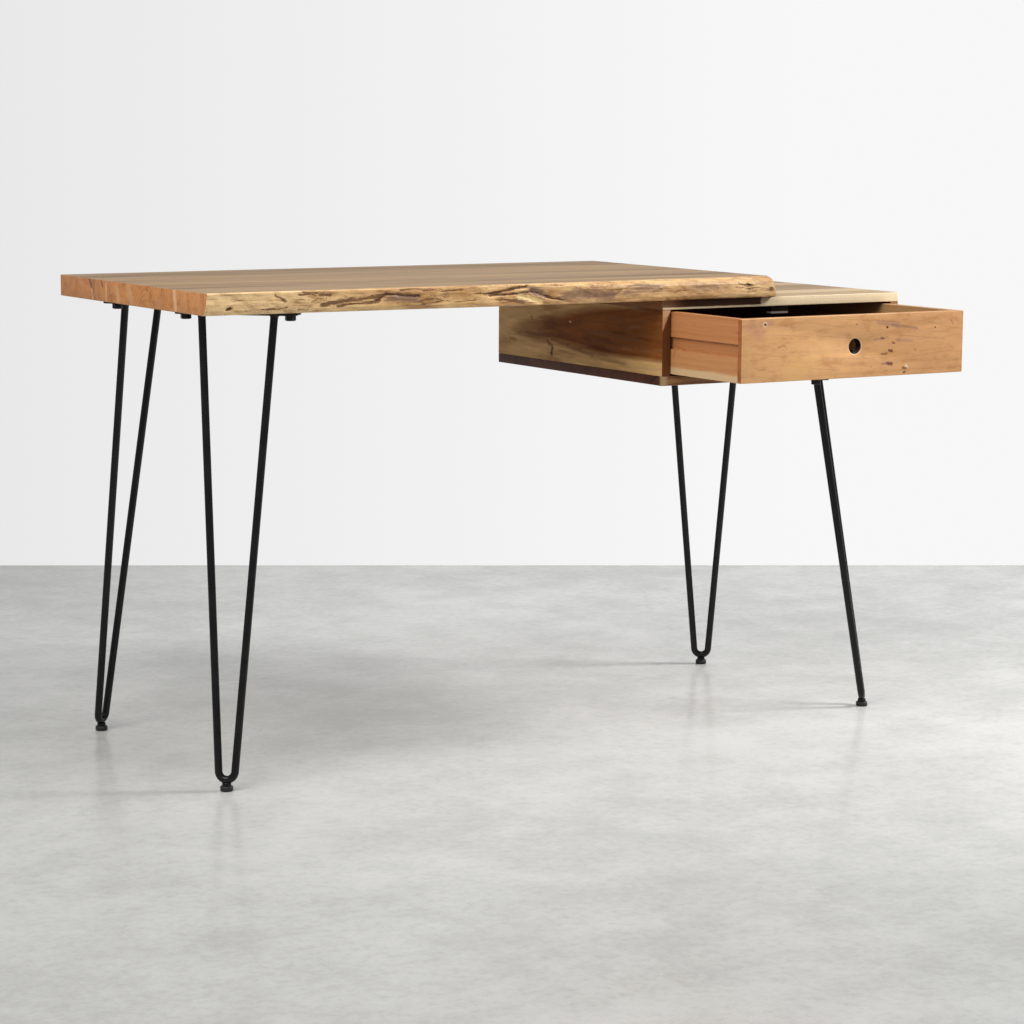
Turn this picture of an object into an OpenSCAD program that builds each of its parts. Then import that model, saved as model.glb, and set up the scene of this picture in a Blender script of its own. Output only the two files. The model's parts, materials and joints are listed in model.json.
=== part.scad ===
// Live-edge desk on hairpin legs, with a drawer cabinet under its right end.
// Units are millimetres. +X runs along the desk to the right, +Y to the back, +Z up.
// The origin is on the floor, in the middle of the whole desk with its drawer as it rests.

/* [Table top] */
// Height of the table top above the floor
desk_h = 762; // [700:1:800]
// Width of the table top, left end to right end
top_w = 1045; // [980:5:1100]
// Depth of the table top, from the mean line of its live edge to the back
top_d = 545; // [520:5:600]
// Thickness of the table top
top_t = 34; // [30:1:42]
// Depth of the front board, which carries the live edge
live_board_d = 118; // [100:1:140]
// Depth of the middle board
middle_board_d = 235; // [200:5:250]

/* [Cabinet] */
// Width of the drawer cabinet
cab_w = 495; // [450:5:520]
// Depth of the drawer cabinet
cab_d = 505; // [490:5:510]
// Height of the drawer cabinet, outside
cab_h = 140; // [130:1:160]
// Length of the cabinet that lies under the table top
cab_overlap = 224; // [200:1:300]
// Distance of the cabinet's front behind the mean line of the live edge
cab_setback = 6; // [4:1:20]
// Thickness of the cabinet's boards
board_t = 16; // [15:1:18]

/* [Drawer] */
// How far the drawer stands open at rest
drawer_open = 190; // [0:5:300]
// Length of the drawer, front face to back
drawer_len = 470; // [440:5:475]
// Gap between the drawer and the cabinet on each side
side_gap = 2.5; // [2:0.5:4]
// Gap above and below the drawer
height_gap = 3; // [2:0.5:5]
// Thickness of the drawer front
front_t = 16; // [15:1:18]
// Part of the front's thickness that laps over the ends of the sides
front_lip = 10; // [8:1:12]
// Thickness of the drawer sides
side_t = 14; // [13:1:16]
// Thickness of the drawer back
back_t = 12; // [10:1:14]
// Thickness of the drawer's bottom panel
panel_t = 6; // [5:1:8]
// Diameter of the finger hole in the drawer front
finger_d = 25; // [20:1:32]

/* [Hairpin legs] */
// Diameter of the leg rods
rod_d = 12; // [10:1:14]
// Half the distance between the two rods where they meet the plate
rod_spread = 57; // [50:1:65]
// Radius of the bend at the foot, to the middle of the rod
bend_r = 13; // [12:1:16]
// Length of a mounting plate
plate_l = 190; // [170:5:200]
// Width of a mounting plate
plate_w = 44; // [36:1:50]
// Thickness of a mounting plate
plate_t = 6; // [4:0.5:7]
// Distance of each bolt from the middle of its plate
bolt_at = 82; // [74:1:84]
// Front left leg: its plate's inset from the left end, inset from the front, turn, and its foot's splay
front_left_leg = [104, 108, 42, 83]; // [35:1:120]
// Back left leg: its plate's inset from the left end, inset from the back, turn, and its foot's splay
back_left_leg = [106, 86, 37, 87]; // [35:1:120]
// Front right leg: its plate's inset from the right side, inset from the front, turn, and its foot's splay
front_right_leg = [103, 88, 50, 91]; // [35:1:120]
// Back right leg: its plate's inset from the right side, inset from the back, turn, and its foot's splay
back_right_leg = [108, 91, 39, 81]; // [35:1:120]

/* [Levelling feet] */
// Diameter of a foot's disc
foot_d = 20; // [18:1:26]
// Height of a foot's disc
foot_h = 8; // [7:0.5:10]
// Diameter of a foot's stud
stud_d = 6; // [5:1:6]

/* [Hidden] */

$fn = 64;

// Overlap of a cutting tool past the face it cuts
past = 1;

// The desk is drawn from the floor under the table top's front left corner
cab_x = top_w - cab_overlap;
total_w = cab_x + cab_w;
cab_back = cab_setback + cab_d;
drawer_face = cab_setback - drawer_open;
origin_x = total_w / 2;
origin_y = (top_d + drawer_face) / 2;

// Heights
top_under = desk_h - top_t;
cab_floor = top_under - cab_h;
inner_h = cab_h - 2 * board_t;
drawer_z = cab_floor + board_t + height_gap;
drawer_h = inner_h - 2 * height_gap;

// Board joints in the table top
middle_y = live_board_d;
back_y = live_board_d + middle_board_d;

// Drawer, seen from above
drawer_x = cab_x + board_t + side_gap;
drawer_w = cab_w - 2 * board_t - 2 * side_gap;
tongue = front_t - front_lip;
panel_groove = 5;
panel_z = drawer_z + 10;

// Wooden runners, which slide in grooves along the drawer sides
runner_t = 7;
runner_h = 19;
groove_h = 20;
groove_deep = 5.5;
groove_z = drawer_z + (drawer_h - groove_h) / 2;
runner_y = cab_setback + front_t + 1;
runner_l = cab_d - board_t - front_t - 6;
runner_screw_at = [30, runner_l / 2, runner_l - 30];

// Stop block under the cabinet top, which the drawer back meets at full opening
stop_w = 36;
stop_d = 14;
stop_h = 14;
stop_off_middle = 5;
stop_x = cab_x + cab_w / 2 + stop_off_middle;
stop_y = cab_setback + front_t + 1;
stop_screw_at = [-12, 12];

// Fixings: radius of each shank, and play of a shank in its hole
play = 0.05;
dowel_r = 4;
dowel_l = 30;
dowel_in_panel = 11;
dowel_y = [cab_setback + 50, cab_setback + cab_d / 2, cab_back - 60];
dowel_x = [cab_x + 90, cab_x + cab_w / 2, cab_x + cab_w - 90];
top_screw_r = 2.5;
top_screw_l = 38;
top_screw_x = [cab_x + 45, top_w - 45];
top_screw_y = [65, 236, 440];
small_screw_r = 2;
runner_screw_l = 20;
stop_screw_l = 25;
pin_r = 1;
pin_l = 26;
pin_in_side = [22, drawer_h - 22];
panel_screw_r = 1.5;
panel_screw_l = 20;
panel_screw_x = [60, drawer_w / 2, drawer_w - 60];

// Leg bolts: hexagon head, washer and a threaded shank into the wood
bolt_r = 4;
head_flats = 15;
head_h = 7;
washer_r = 9;
washer_t = 1.6;
shank_in_top = 26;
shank_in_cab = 13;

// Legs: the plate's middle, the plate's turn, the way to the foot, splay, and the wood it is bolted to
function leg_row(x, y, way_x, way_y, leg, wood) =
  [x, y, -way_x * way_y * leg[2], [way_x * sin(leg[2]), way_y * cos(leg[2])], leg[3], wood];
LEGS = [
  leg_row(front_left_leg[0], front_left_leg[1], -1, -1, front_left_leg, top_under),
  leg_row(back_left_leg[0], top_d - back_left_leg[1], -1, 1, back_left_leg, top_under),
  leg_row(total_w - front_right_leg[0], cab_setback + front_right_leg[1], 1, -1, front_right_leg, cab_floor),
  leg_row(total_w - back_right_leg[0], cab_back - back_right_leg[1], 1, 1, back_right_leg, cab_floor)
];
FRONT_LEFT = 0;
BACK_LEFT = 1;
FRONT_RIGHT = 2;
BACK_RIGHT = 3;
boss_d = 14;
boss_gap = 0.4;
boss_h = 5;
bend_z = foot_h + boss_gap + 3 + rod_d / 2;
stud_top = bend_z + 2;
rod_sides = 24;
bend_steps = 16;

module in_frame() {
  translate([-origin_x, -origin_y, 0]) children();
}

module box(corner, size) {
  translate(corner) cube(size);
}

// A countersunk wood screw along +Z, with the flat of its head at z = 0
module wood_screw(r, length, grow = 0) {
  head_r = 2 * r;
  cylinder(r = r + grow, h = length + 4 * grow);
  translate([0, 0, -4 * grow]) cylinder(r1 = head_r + 4 * grow, r2 = r, h = head_r + 4 * grow);
}

// ---------- Table top ----------

// Share of the way along the live edge, from 0 at the left end to 1 at the right end
function along(x) = x / top_w;

// Outline of the live edge seen from above, at its top, bulge and bottom
function edge_top(x) = 17 * pow(along(x), 2) + 2 * sin(430 * along(x)) + 1.2 * sin(1130 * along(x));
function edge_bulge(x) = 3 - 7 * along(x) + 2 * sin(300 * along(x) + 40) + sin(900 * along(x));
function edge_bottom(x) = 15 * pow(1 - along(x), 1.5) - 6 * along(x) + 1.5 * sin(520 * along(x));

// One section of the front board, back to front over the top and round the live edge
function live_section(x) = [
  [x, live_board_d, 0],
  [x, live_board_d, top_t],
  [x, edge_top(x), top_t],
  [x, edge_top(x) / 2 + edge_bulge(x) / 2 - 2, top_t * 0.82],
  [x, edge_bulge(x), top_t * 0.5],
  [x, edge_bottom(x) / 2 + edge_bulge(x) / 2 - 1, top_t * 0.2],
  [x, edge_bottom(x), 0]
];

module live_edge_blank() {
  stations = 40;
  ring = 7;
  points = [for (i = [0:stations]) each live_section(top_w * i / stations)];
  left_end = [[for (k = [0:ring - 1]) k]];
  right_end = [[for (k = [0:ring - 1]) stations * ring + ring - 1 - k]];
  skin = [for (i = [0:stations - 1]) for (k = [0:ring - 1])
    let (a = i * ring + k, b = i * ring + (k + 1) % ring)
    each [[a, a + ring, b], [b, a + ring, b + ring]]];
  polyhedron(points = points, faces = concat(left_end, right_end, skin), convexity = 4);
}

// Holes for the leg bolts and the cabinet screws, cut up into the underside of the table top
module top_holes() {
  for (leg = [FRONT_LEFT, BACK_LEFT]) bolt_holes(leg, shank_in_top + 1);
  for (x = top_screw_x) for (y = top_screw_y)
    translate([x, y, top_under - past]) cylinder(r = top_screw_r + play, h = top_screw_l - board_t + 2);
}

module top_board(y, depth) {
  in_frame() difference() {
    box([0, y, top_under], [top_w, depth, top_t]);
    top_holes();
  }
}

module top_back_board() {
  color("#b3906a") top_board(back_y, top_d - back_y);
}

module top_middle_board() {
  color("#b58d66") top_board(middle_y, middle_board_d);
}

module top_live_edge_board() {
  color("#cfab78") in_frame() difference() {
    translate([0, 0, top_under]) live_edge_blank();
    top_holes();
  }
}

// ---------- Cabinet ----------

// Dowels that peg the side boards, and the back, to the top and bottom boards
module dowels(grow = 0) {
  for (x = [cab_x + board_t / 2, cab_x + cab_w - board_t / 2]) for (y = dowel_y) dowel_pair(x, y, grow);
  for (x = dowel_x) dowel_pair(x, cab_back - board_t / 2, grow);
}

module dowel_pair(x, y, grow) {
  translate([x, y, top_under - board_t + dowel_in_panel - dowel_l - grow])
    cylinder(r = dowel_r + grow, h = dowel_l + 2 * grow);
  translate([x, y, cab_floor + board_t - dowel_in_panel - grow])
    cylinder(r = dowel_r + grow, h = dowel_l + 2 * grow);
}

module screws_to_top(grow = 0) {
  for (x = top_screw_x) for (y = top_screw_y)
    translate([x, y, top_under - board_t]) wood_screw(top_screw_r, top_screw_l, grow);
}

module stop_screws(grow = 0) {
  for (dx = stop_screw_at)
    translate([stop_x + dx, stop_y + stop_d / 2, top_under - board_t - stop_h])
      wood_screw(small_screw_r, stop_screw_l, grow);
}

module cabinet_top() {
  color("#bf9d74") in_frame() difference() {
    box([cab_x, cab_setback, top_under - board_t], [cab_w, cab_d, board_t]);
    dowels(play);
    screws_to_top(play);
    stop_screws(play);
  }
}

module cabinet_bottom() {
  color("#9a6f48") in_frame() difference() {
    box([cab_x, cab_setback, cab_floor], [cab_w, cab_d, board_t]);
    dowels(play);
    for (leg = [FRONT_RIGHT, BACK_RIGHT]) bolt_holes(leg, shank_in_cab + 1);
  }
}

module cabinet_side(x) {
  in_frame() difference() {
    box([x, cab_setback, cab_floor + board_t], [board_t, cab_d, inner_h]);
    dowels(play);
    runner_screw_set(play);
  }
}

module cabinet_left_side() {
  color("#8a5c38") cabinet_side(cab_x);
}

module cabinet_right_side() {
  color("#a87a50") cabinet_side(cab_x + cab_w - board_t);
}

module cabinet_back() {
  color("#a0764e") in_frame() difference() {
    box([cab_x + board_t, cab_back - board_t, cab_floor + board_t], [cab_w - 2 * board_t, board_t, inner_h]);
    dowels(play);
  }
}

module cabinet_dowels() {
  color("#d9bd8f") in_frame() dowels();
}

module top_screws() {
  color("#9c9c9c") in_frame() screws_to_top();
}

module drawer_stop() {
  color("#d9c7a6") in_frame() difference() {
    box([stop_x - stop_w / 2, stop_y, top_under - board_t - stop_h], [stop_w, stop_d, stop_h]);
    stop_screws(play);
  }
}

module drawer_stop_screws() {
  color("#9c9c9c") in_frame() stop_screws();
}

// ---------- Runners ----------

module runner(x) {
  in_frame() difference() {
    box([x, runner_y, groove_z + (groove_h - runner_h) / 2], [runner_t, runner_l, runner_h]);
    runner_screw_set(play);
  }
}

// Screws through both runners, outwards into the cabinet's sides
module runner_screw_set(grow = 0) {
  z = groove_z + groove_h / 2;
  for (at = runner_screw_at) {
    translate([cab_x + board_t + runner_t, runner_y + at, z]) rotate([0, -90, 0])
      wood_screw(small_screw_r, runner_screw_l, grow);
    translate([cab_x + cab_w - board_t - runner_t, runner_y + at, z]) rotate([0, 90, 0])
      wood_screw(small_screw_r, runner_screw_l, grow);
  }
}

module left_runner() {
  color("#c49a6a") runner(cab_x + board_t);
}

module right_runner() {
  color("#c49a6a") runner(cab_x + cab_w - board_t - runner_t);
}

module runner_screws() {
  color("#9c9c9c") in_frame() runner_screw_set();
}

// ---------- Drawer ----------

// Headless pins through the drawer sides, into the tongue of the front and the ends of the back
module pins(grow = 0) {
  for (y = [drawer_face + front_lip + tongue / 2, drawer_face + drawer_len - back_t / 2])
    for (dz = pin_in_side) {
      translate([drawer_x, y, drawer_z + dz]) rotate([0, 90, 0])
        cylinder(r = pin_r + grow, h = pin_l + grow, $fn = 24);
      translate([drawer_x + drawer_w, y, drawer_z + dz]) rotate([0, -90, 0])
        cylinder(r = pin_r + grow, h = pin_l + grow, $fn = 24);
    }
}

module panel_screws(grow = 0) {
  for (dx = panel_screw_x)
    translate([drawer_x + dx, drawer_face + drawer_len - back_t / 2, panel_z])
      wood_screw(panel_screw_r, panel_screw_l, grow);
}

// The bottom panel lies in grooves in the front and the sides, and passes under the back
module panel_blank() {
  box([drawer_x + side_t - panel_groove, drawer_face + front_t - panel_groove, panel_z],
      [drawer_w - 2 * side_t + 2 * panel_groove, drawer_len - front_t + panel_groove, panel_t]);
}

module drawer_front() {
  color("#c4905c") in_frame() difference() {
    union() {
      box([drawer_x, drawer_face, drawer_z], [drawer_w, front_lip, drawer_h]);
      box([drawer_x + side_t, drawer_face, drawer_z], [drawer_w - 2 * side_t, front_t, drawer_h]);
    }
    panel_blank();
    pins(play);
    translate([drawer_x + drawer_w / 2, drawer_face - past, drawer_z + drawer_h / 2]) rotate([-90, 0, 0])
      cylinder(d = finger_d, h = front_t + 2 * past);
  }
}

module drawer_side(x, groove_x) {
  in_frame() difference() {
    box([x, drawer_face + front_lip, drawer_z], [side_t, drawer_len - front_lip, drawer_h]);
    box([groove_x, drawer_face, groove_z], [groove_deep, drawer_len + past, groove_h]);
    box([drawer_x + side_t - panel_groove, drawer_face, panel_z],
        [drawer_w - 2 * side_t + 2 * panel_groove, drawer_len + past, panel_t]);
    pins(play);
  }
}

module drawer_left_side() {
  color("#bd7f52") drawer_side(drawer_x, drawer_x);
}

module drawer_right_side() {
  color("#bd7f52") drawer_side(drawer_x + drawer_w - side_t, drawer_x + drawer_w - groove_deep);
}

module drawer_back() {
  back_z = panel_z + panel_t;
  color("#b98a5c") in_frame() difference() {
    box([drawer_x + side_t, drawer_face + drawer_len - back_t, back_z],
        [drawer_w - 2 * side_t, back_t, drawer_z + drawer_h - 4 - back_z]);
    pins(play);
    panel_screws(play);
  }
}

module drawer_bottom() {
  color("#d2b48a") in_frame() difference() {
    panel_blank();
    panel_screws(play);
  }
}

module drawer_pins() {
  color("#8c8c8c") in_frame() pins();
}

module drawer_bottom_screws() {
  color("#9c9c9c") in_frame() panel_screws();
}

// ---------- Legs ----------

// Puts its children on a leg's plate: X along the plate, z = 0 at the wood it is bolted to
module at_plate(leg) {
  translate([LEGS[leg][0], LEGS[leg][1], LEGS[leg][5]]) rotate([0, 0, LEGS[leg][2]]) children();
}

module bolt_holes(leg, depth) {
  at_plate(leg) for (side = [-1, 1])
    translate([side * bolt_at, 0, -past]) cylinder(r = bolt_r + play, h = depth + past);
}

module leg_plate(leg) {
  corner_r = 8;
  color("#1b1b1c") in_frame() at_plate(leg) difference() {
    translate([0, 0, -plate_t]) {
      box([-plate_l / 2 + corner_r, -plate_w / 2, 0], [plate_l - 2 * corner_r, plate_w, plate_t]);
      box([-plate_l / 2, -plate_w / 2 + corner_r, 0], [plate_l, plate_w - 2 * corner_r, plate_t]);
      for (x = [-1, 1]) for (y = [-1, 1])
        translate([x * (plate_l / 2 - corner_r), y * (plate_w / 2 - corner_r), 0])
          cylinder(r = corner_r, h = plate_t);
    }
    for (side = [-1, 1]) translate([side * bolt_at, 0, -plate_t - past])
      cylinder(r = bolt_r + 0.5, h = plate_t + 2 * past);
  }
}

function foot_xy(leg) = [LEGS[leg][0] + LEGS[leg][4] * LEGS[leg][3][0],
                         LEGS[leg][1] + LEGS[leg][4] * LEGS[leg][3][1]];

// The hairpin's middle line lies in a plane: u along the plate, w up the leg, from the bend's lowest point.
// A ring round it is [u, w, angle], where the angle points from the bend's centre out through the ring.
function hairpin_tilt(rise) = atan((rod_spread - bend_r) / (rise - bend_r));
function hairpin_rings(tilt) = [for (i = [0:bend_steps])
  let (a = 180 + tilt + (180 - 2 * tilt) * i / bend_steps) [bend_r * cos(a), bend_r + bend_r * sin(a), a]];

// Points of one ring, as [u, sideways, w]
function ring_points(ring) = [for (k = [0:rod_sides - 1]) let (a = 360 * k / rod_sides)
  [ring[0] + rod_d / 2 * cos(a) * cos(ring[2]), rod_d / 2 * sin(a), ring[1] + rod_d / 2 * cos(a) * sin(ring[2])]];

// The same points slid along a rod to the plane of the plate
function slid_points(points, dir_u, tilt, lean, height) = [for (p = points)
  let (t = ((height + p[1] * sin(lean)) / cos(lean) - p[2]) / cos(tilt))
  [p[0] + t * dir_u * sin(tilt), p[1], p[2] + t * cos(tilt)]];

// One rod bent to a hairpin, which leans by the angle lean, and ends flush against the plate
module hairpin(height, lean) {
  tilt = hairpin_tilt(height / cos(lean));
  rings = [for (ring = hairpin_rings(tilt)) ring_points(ring)];
  all_rings = concat([slid_points(rings[0], -1, tilt, lean, height)], rings,
                     [slid_points(rings[bend_steps], 1, tilt, lean, height)]);
  last = len(all_rings) - 1;
  start_cap = [[for (k = [0:rod_sides - 1]) rod_sides - 1 - k]];
  end_cap = [[for (k = [0:rod_sides - 1]) last * rod_sides + k]];
  skin = [for (i = [0:last - 1]) for (k = [0:rod_sides - 1])
    let (a = i * rod_sides + k, b = i * rod_sides + (k + 1) % rod_sides)
    each [[a, b, a + rod_sides], [b, b + rod_sides, a + rod_sides]]];
  polyhedron(points = [for (ring = all_rings) each ring], faces = concat(start_cap, skin, end_cap), convexity = 4);
}

// The angle by which a leg's hairpin leans about its plate's length
function lean(leg) = (leg == FRONT_LEFT || leg == FRONT_RIGHT ? -1 : 1) * atan(LEGS[leg][4] / rod_rise(leg));
function rod_rise(leg) = LEGS[leg][5] - plate_t - bend_z;

// Puts its children at the lowest point of a bend's middle line, in the hairpin's own directions
module at_bend(leg) {
  foot = foot_xy(leg);
  translate([foot[0], foot[1], bend_z]) rotate([0, 0, LEGS[leg][2]]) rotate([lean(leg), 0, 0]) children();
}

// The bore that a foot's stud turns in
module stud_bore(leg) {
  foot = foot_xy(leg);
  translate([foot[0], foot[1], 0]) cylinder(d = stud_d + 2 * play, h = stud_top + 1);
}

module leg_rod(leg) {
  color("#1b1b1c") in_frame() difference() {
    at_bend(leg) hairpin(rod_rise(leg), -lean(leg));
    stud_bore(leg);
  }
}

module leg_bolts(leg) {
  shank = LEGS[leg][5] == top_under ? shank_in_top : shank_in_cab;
  color("#1b1b1c") in_frame() at_plate(leg) for (side = [-1, 1]) translate([side * bolt_at, 0, -plate_t]) {
    translate([0, 0, -washer_t]) cylinder(r = washer_r, h = washer_t);
    translate([0, 0, -washer_t - head_h]) cylinder(d = head_flats / cos(30), h = head_h, $fn = 6);
    translate([0, 0, -washer_t]) cylinder(r = bolt_r, h = washer_t + plate_t + shank);
  }
}

// Round boss welded under the bend, which takes the foot's stud
module leg_boss(leg) {
  foot = foot_xy(leg);
  color("#1b1b1c") in_frame() difference() {
    translate([foot[0], foot[1], foot_h + boss_gap]) cylinder(d = boss_d, h = boss_h);
    at_bend(leg) translate([0, 0, bend_r]) rotate([90, 0, 0])
      rotate_extrude() translate([bend_r, 0]) circle(d = rod_d);
    stud_bore(leg);
  }
}

module leg_foot(leg) {
  foot = foot_xy(leg);
  rim = 1.5;
  color("#202022") in_frame() translate([foot[0], foot[1], 0]) {
    cylinder(r1 = foot_d / 2 - rim, r2 = foot_d / 2, h = rim);
    translate([0, 0, rim]) cylinder(d = foot_d, h = foot_h - 2 * rim);
    translate([0, 0, foot_h - rim]) cylinder(r1 = foot_d / 2, r2 = foot_d / 2 - rim, h = rim);
    cylinder(d = stud_d, h = stud_top);
  }
}

top_back_board();
top_middle_board();
top_live_edge_board();
cabinet_top();
cabinet_bottom();
cabinet_left_side();
cabinet_right_side();
cabinet_back();
cabinet_dowels();
top_screws();
drawer_stop();
drawer_stop_screws();
left_runner();
right_runner();
runner_screws();
drawer_front();
drawer_left_side();
drawer_right_side();
drawer_back();
drawer_bottom();
drawer_pins();
drawer_bottom_screws();
leg_plate(FRONT_LEFT);  // front_left_plate
leg_rod(FRONT_LEFT);  // front_left_rod
leg_bolts(FRONT_LEFT);  // front_left_bolts
leg_boss(FRONT_LEFT);  // front_left_boss
leg_foot(FRONT_LEFT);  // front_left_foot
leg_plate(BACK_LEFT);  // back_left_plate
leg_rod(BACK_LEFT);  // back_left_rod
leg_bolts(BACK_LEFT);  // back_left_bolts
leg_boss(BACK_LEFT);  // back_left_boss
leg_foot(BACK_LEFT);  // back_left_foot
leg_plate(FRONT_RIGHT);  // front_right_plate
leg_rod(FRONT_RIGHT);  // front_right_rod
leg_bolts(FRONT_RIGHT);  // front_right_bolts
leg_boss(FRONT_RIGHT);  // front_right_boss
leg_foot(FRONT_RIGHT);  // front_right_foot
leg_plate(BACK_RIGHT);  // back_right_plate
leg_rod(BACK_RIGHT);  // back_right_rod
leg_bolts(BACK_RIGHT);  // back_right_bolts
leg_boss(BACK_RIGHT);  // back_right_boss
leg_foot(BACK_RIGHT);  // back_right_foot
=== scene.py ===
# A live-edge desk on hairpin legs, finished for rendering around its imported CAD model.
# Lengths are in metres, in the frame of the CAD model.
import json
import math

import bmesh
import bpy
from mathutils import Matrix, Vector, noise

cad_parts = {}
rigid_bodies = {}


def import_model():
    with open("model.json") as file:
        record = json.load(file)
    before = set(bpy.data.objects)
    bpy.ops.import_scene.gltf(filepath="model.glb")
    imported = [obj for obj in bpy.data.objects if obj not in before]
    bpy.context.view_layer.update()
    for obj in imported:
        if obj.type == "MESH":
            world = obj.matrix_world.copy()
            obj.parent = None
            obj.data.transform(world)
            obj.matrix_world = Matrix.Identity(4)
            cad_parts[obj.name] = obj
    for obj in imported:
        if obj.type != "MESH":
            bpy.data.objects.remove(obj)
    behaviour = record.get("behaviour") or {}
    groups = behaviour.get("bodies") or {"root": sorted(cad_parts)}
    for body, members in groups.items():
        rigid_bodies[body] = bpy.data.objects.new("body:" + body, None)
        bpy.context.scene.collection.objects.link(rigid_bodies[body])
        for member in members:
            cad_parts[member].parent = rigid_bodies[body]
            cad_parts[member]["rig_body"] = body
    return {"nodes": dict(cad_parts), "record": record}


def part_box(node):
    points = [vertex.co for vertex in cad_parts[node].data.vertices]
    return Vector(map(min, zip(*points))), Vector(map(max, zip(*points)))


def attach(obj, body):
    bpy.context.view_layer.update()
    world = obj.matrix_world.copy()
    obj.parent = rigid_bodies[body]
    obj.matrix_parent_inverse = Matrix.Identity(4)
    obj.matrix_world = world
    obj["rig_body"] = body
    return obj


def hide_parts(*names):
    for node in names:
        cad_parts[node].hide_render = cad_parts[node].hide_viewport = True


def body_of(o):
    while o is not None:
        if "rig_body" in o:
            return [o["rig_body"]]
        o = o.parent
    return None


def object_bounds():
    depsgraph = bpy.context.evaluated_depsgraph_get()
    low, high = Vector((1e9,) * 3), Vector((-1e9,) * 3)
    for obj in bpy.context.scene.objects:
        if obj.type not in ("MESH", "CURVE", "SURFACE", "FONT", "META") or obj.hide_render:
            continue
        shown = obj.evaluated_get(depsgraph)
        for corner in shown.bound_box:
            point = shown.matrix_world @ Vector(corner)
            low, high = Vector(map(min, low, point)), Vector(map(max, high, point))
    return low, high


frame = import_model()
cad_low, cad_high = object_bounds()
MM = 0.001


# ---------- Camera, stage and light ----------

CAMERA_AT = Vector((-2.4192, -3.8218, 1.0218))
CAMERA_YAW = 32.183
CAMERA_PITCH = 8.199
CAMERA_ROLL = 0.415
CAMERA_LENS = 96.44
CAMERA_TURN = math.radians(CAMERA_YAW)
FLOOR_BACK = 1.71
FLOOR_SPREAD = 7.0
FLOOR_SLANT = 0.32
WALL_LEFT = (0.81, 0.81, 0.81, 1.0)
WALL_RIGHT = (0.935, 0.935, 0.935, 1.0)
SKY_COLOR = (0.97, 0.985, 1.0, 1.0)
SKY_STRENGTH = 0.42
LIGHTS_AIM = Vector((0.15, -0.05, 0.62))


def turned(yaw, pitch, roll):
    """A camera's rotation: yaw clockwise seen from above, pitch down, roll about the line of sight."""
    angles = ((-yaw, "Z"), (90 - pitch, "X"), (roll, "Z"))
    first, second, third = (Matrix.Rotation(math.radians(angle), 3, axis) for angle, axis in angles)
    return first @ second @ third


def make_camera():
    data = bpy.data.cameras.new("camera")
    data.sensor_width = 36.0
    data.lens = CAMERA_LENS
    data.clip_end = 60.0
    camera = bpy.data.objects.new("camera", data)
    turn = turned(CAMERA_YAW, CAMERA_PITCH, CAMERA_ROLL).to_4x4()
    camera.matrix_world = Matrix.Translation(CAMERA_AT) @ turn
    bpy.context.scene.collection.objects.link(camera)
    bpy.context.scene.camera = camera


def make_light(name, azimuth, elevation, distance, size, watts, color=(1.0, 1.0, 1.0)):
    """A square soft light, azimuth degrees from the desk's front towards its right end."""
    a, e = math.radians(azimuth), math.radians(elevation)
    way = Vector((math.sin(a) * math.cos(e), -math.cos(a) * math.cos(e), math.sin(e)))
    data = bpy.data.lights.new(name, "AREA")
    data.shape = "RECTANGLE"
    data.size = size
    data.size_y = size
    data.energy = watts
    data.color = color
    light = bpy.data.objects.new(name, data)
    light.location = LIGHTS_AIM + way * distance
    light.rotation_euler = (LIGHTS_AIM - light.location).to_track_quat("-Z", "Y").to_euler()
    bpy.context.scene.collection.objects.link(light)


def make_world():
    """A pale studio: the camera sees a wall, lighter to the right, and a softer sky lights the pieces."""
    world = bpy.data.worlds.new("studio")
    bpy.context.scene.world = world
    world.use_nodes = True
    tree = world.node_tree
    tree.nodes.clear()
    output = tree.nodes.new("ShaderNodeOutputWorld")
    mix = tree.nodes.new("ShaderNodeMixShader")
    path = tree.nodes.new("ShaderNodeLightPath")
    light = tree.nodes.new("ShaderNodeBackground")
    wall = tree.nodes.new("ShaderNodeBackground")
    light.inputs["Color"].default_value = SKY_COLOR
    light.inputs["Strength"].default_value = SKY_STRENGTH
    coords = tree.nodes.new("ShaderNodeTexCoord")
    turn = tree.nodes.new("ShaderNodeVectorMath")
    turn.operation = "DOT_PRODUCT"
    turn.inputs[1].default_value = (math.cos(CAMERA_TURN), -math.sin(CAMERA_TURN), 0.0)
    spread = tree.nodes.new("ShaderNodeMapRange")
    spread.inputs["From Min"].default_value = -0.19
    spread.inputs["From Max"].default_value = 0.10
    ramp = tree.nodes.new("ShaderNodeMix")
    ramp.data_type = "RGBA"
    ramp.inputs[6].default_value = WALL_LEFT
    ramp.inputs[7].default_value = WALL_RIGHT
    tree.links.new(coords.outputs["Generated"], turn.inputs[0])
    tree.links.new(turn.outputs["Value"], spread.inputs["Value"])
    tree.links.new(spread.outputs[0], ramp.inputs["Factor"])
    tree.links.new(ramp.outputs[2], wall.inputs["Color"])
    tree.links.new(path.outputs["Is Camera Ray"], mix.inputs[0])
    tree.links.new(light.outputs[0], mix.inputs[1])
    tree.links.new(wall.outputs[0], mix.inputs[2])
    tree.links.new(mix.outputs[0], output.inputs[0])


# ---------- Shader nodes written as plain expressions ----------

def operator(operation, swapped=False):
    """A method of Value that adds one math node."""
    def apply(self, *others):
        values = (self, *others)
        return self.graph.math(operation, *(reversed(values) if swapped else values))
    return apply


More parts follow.
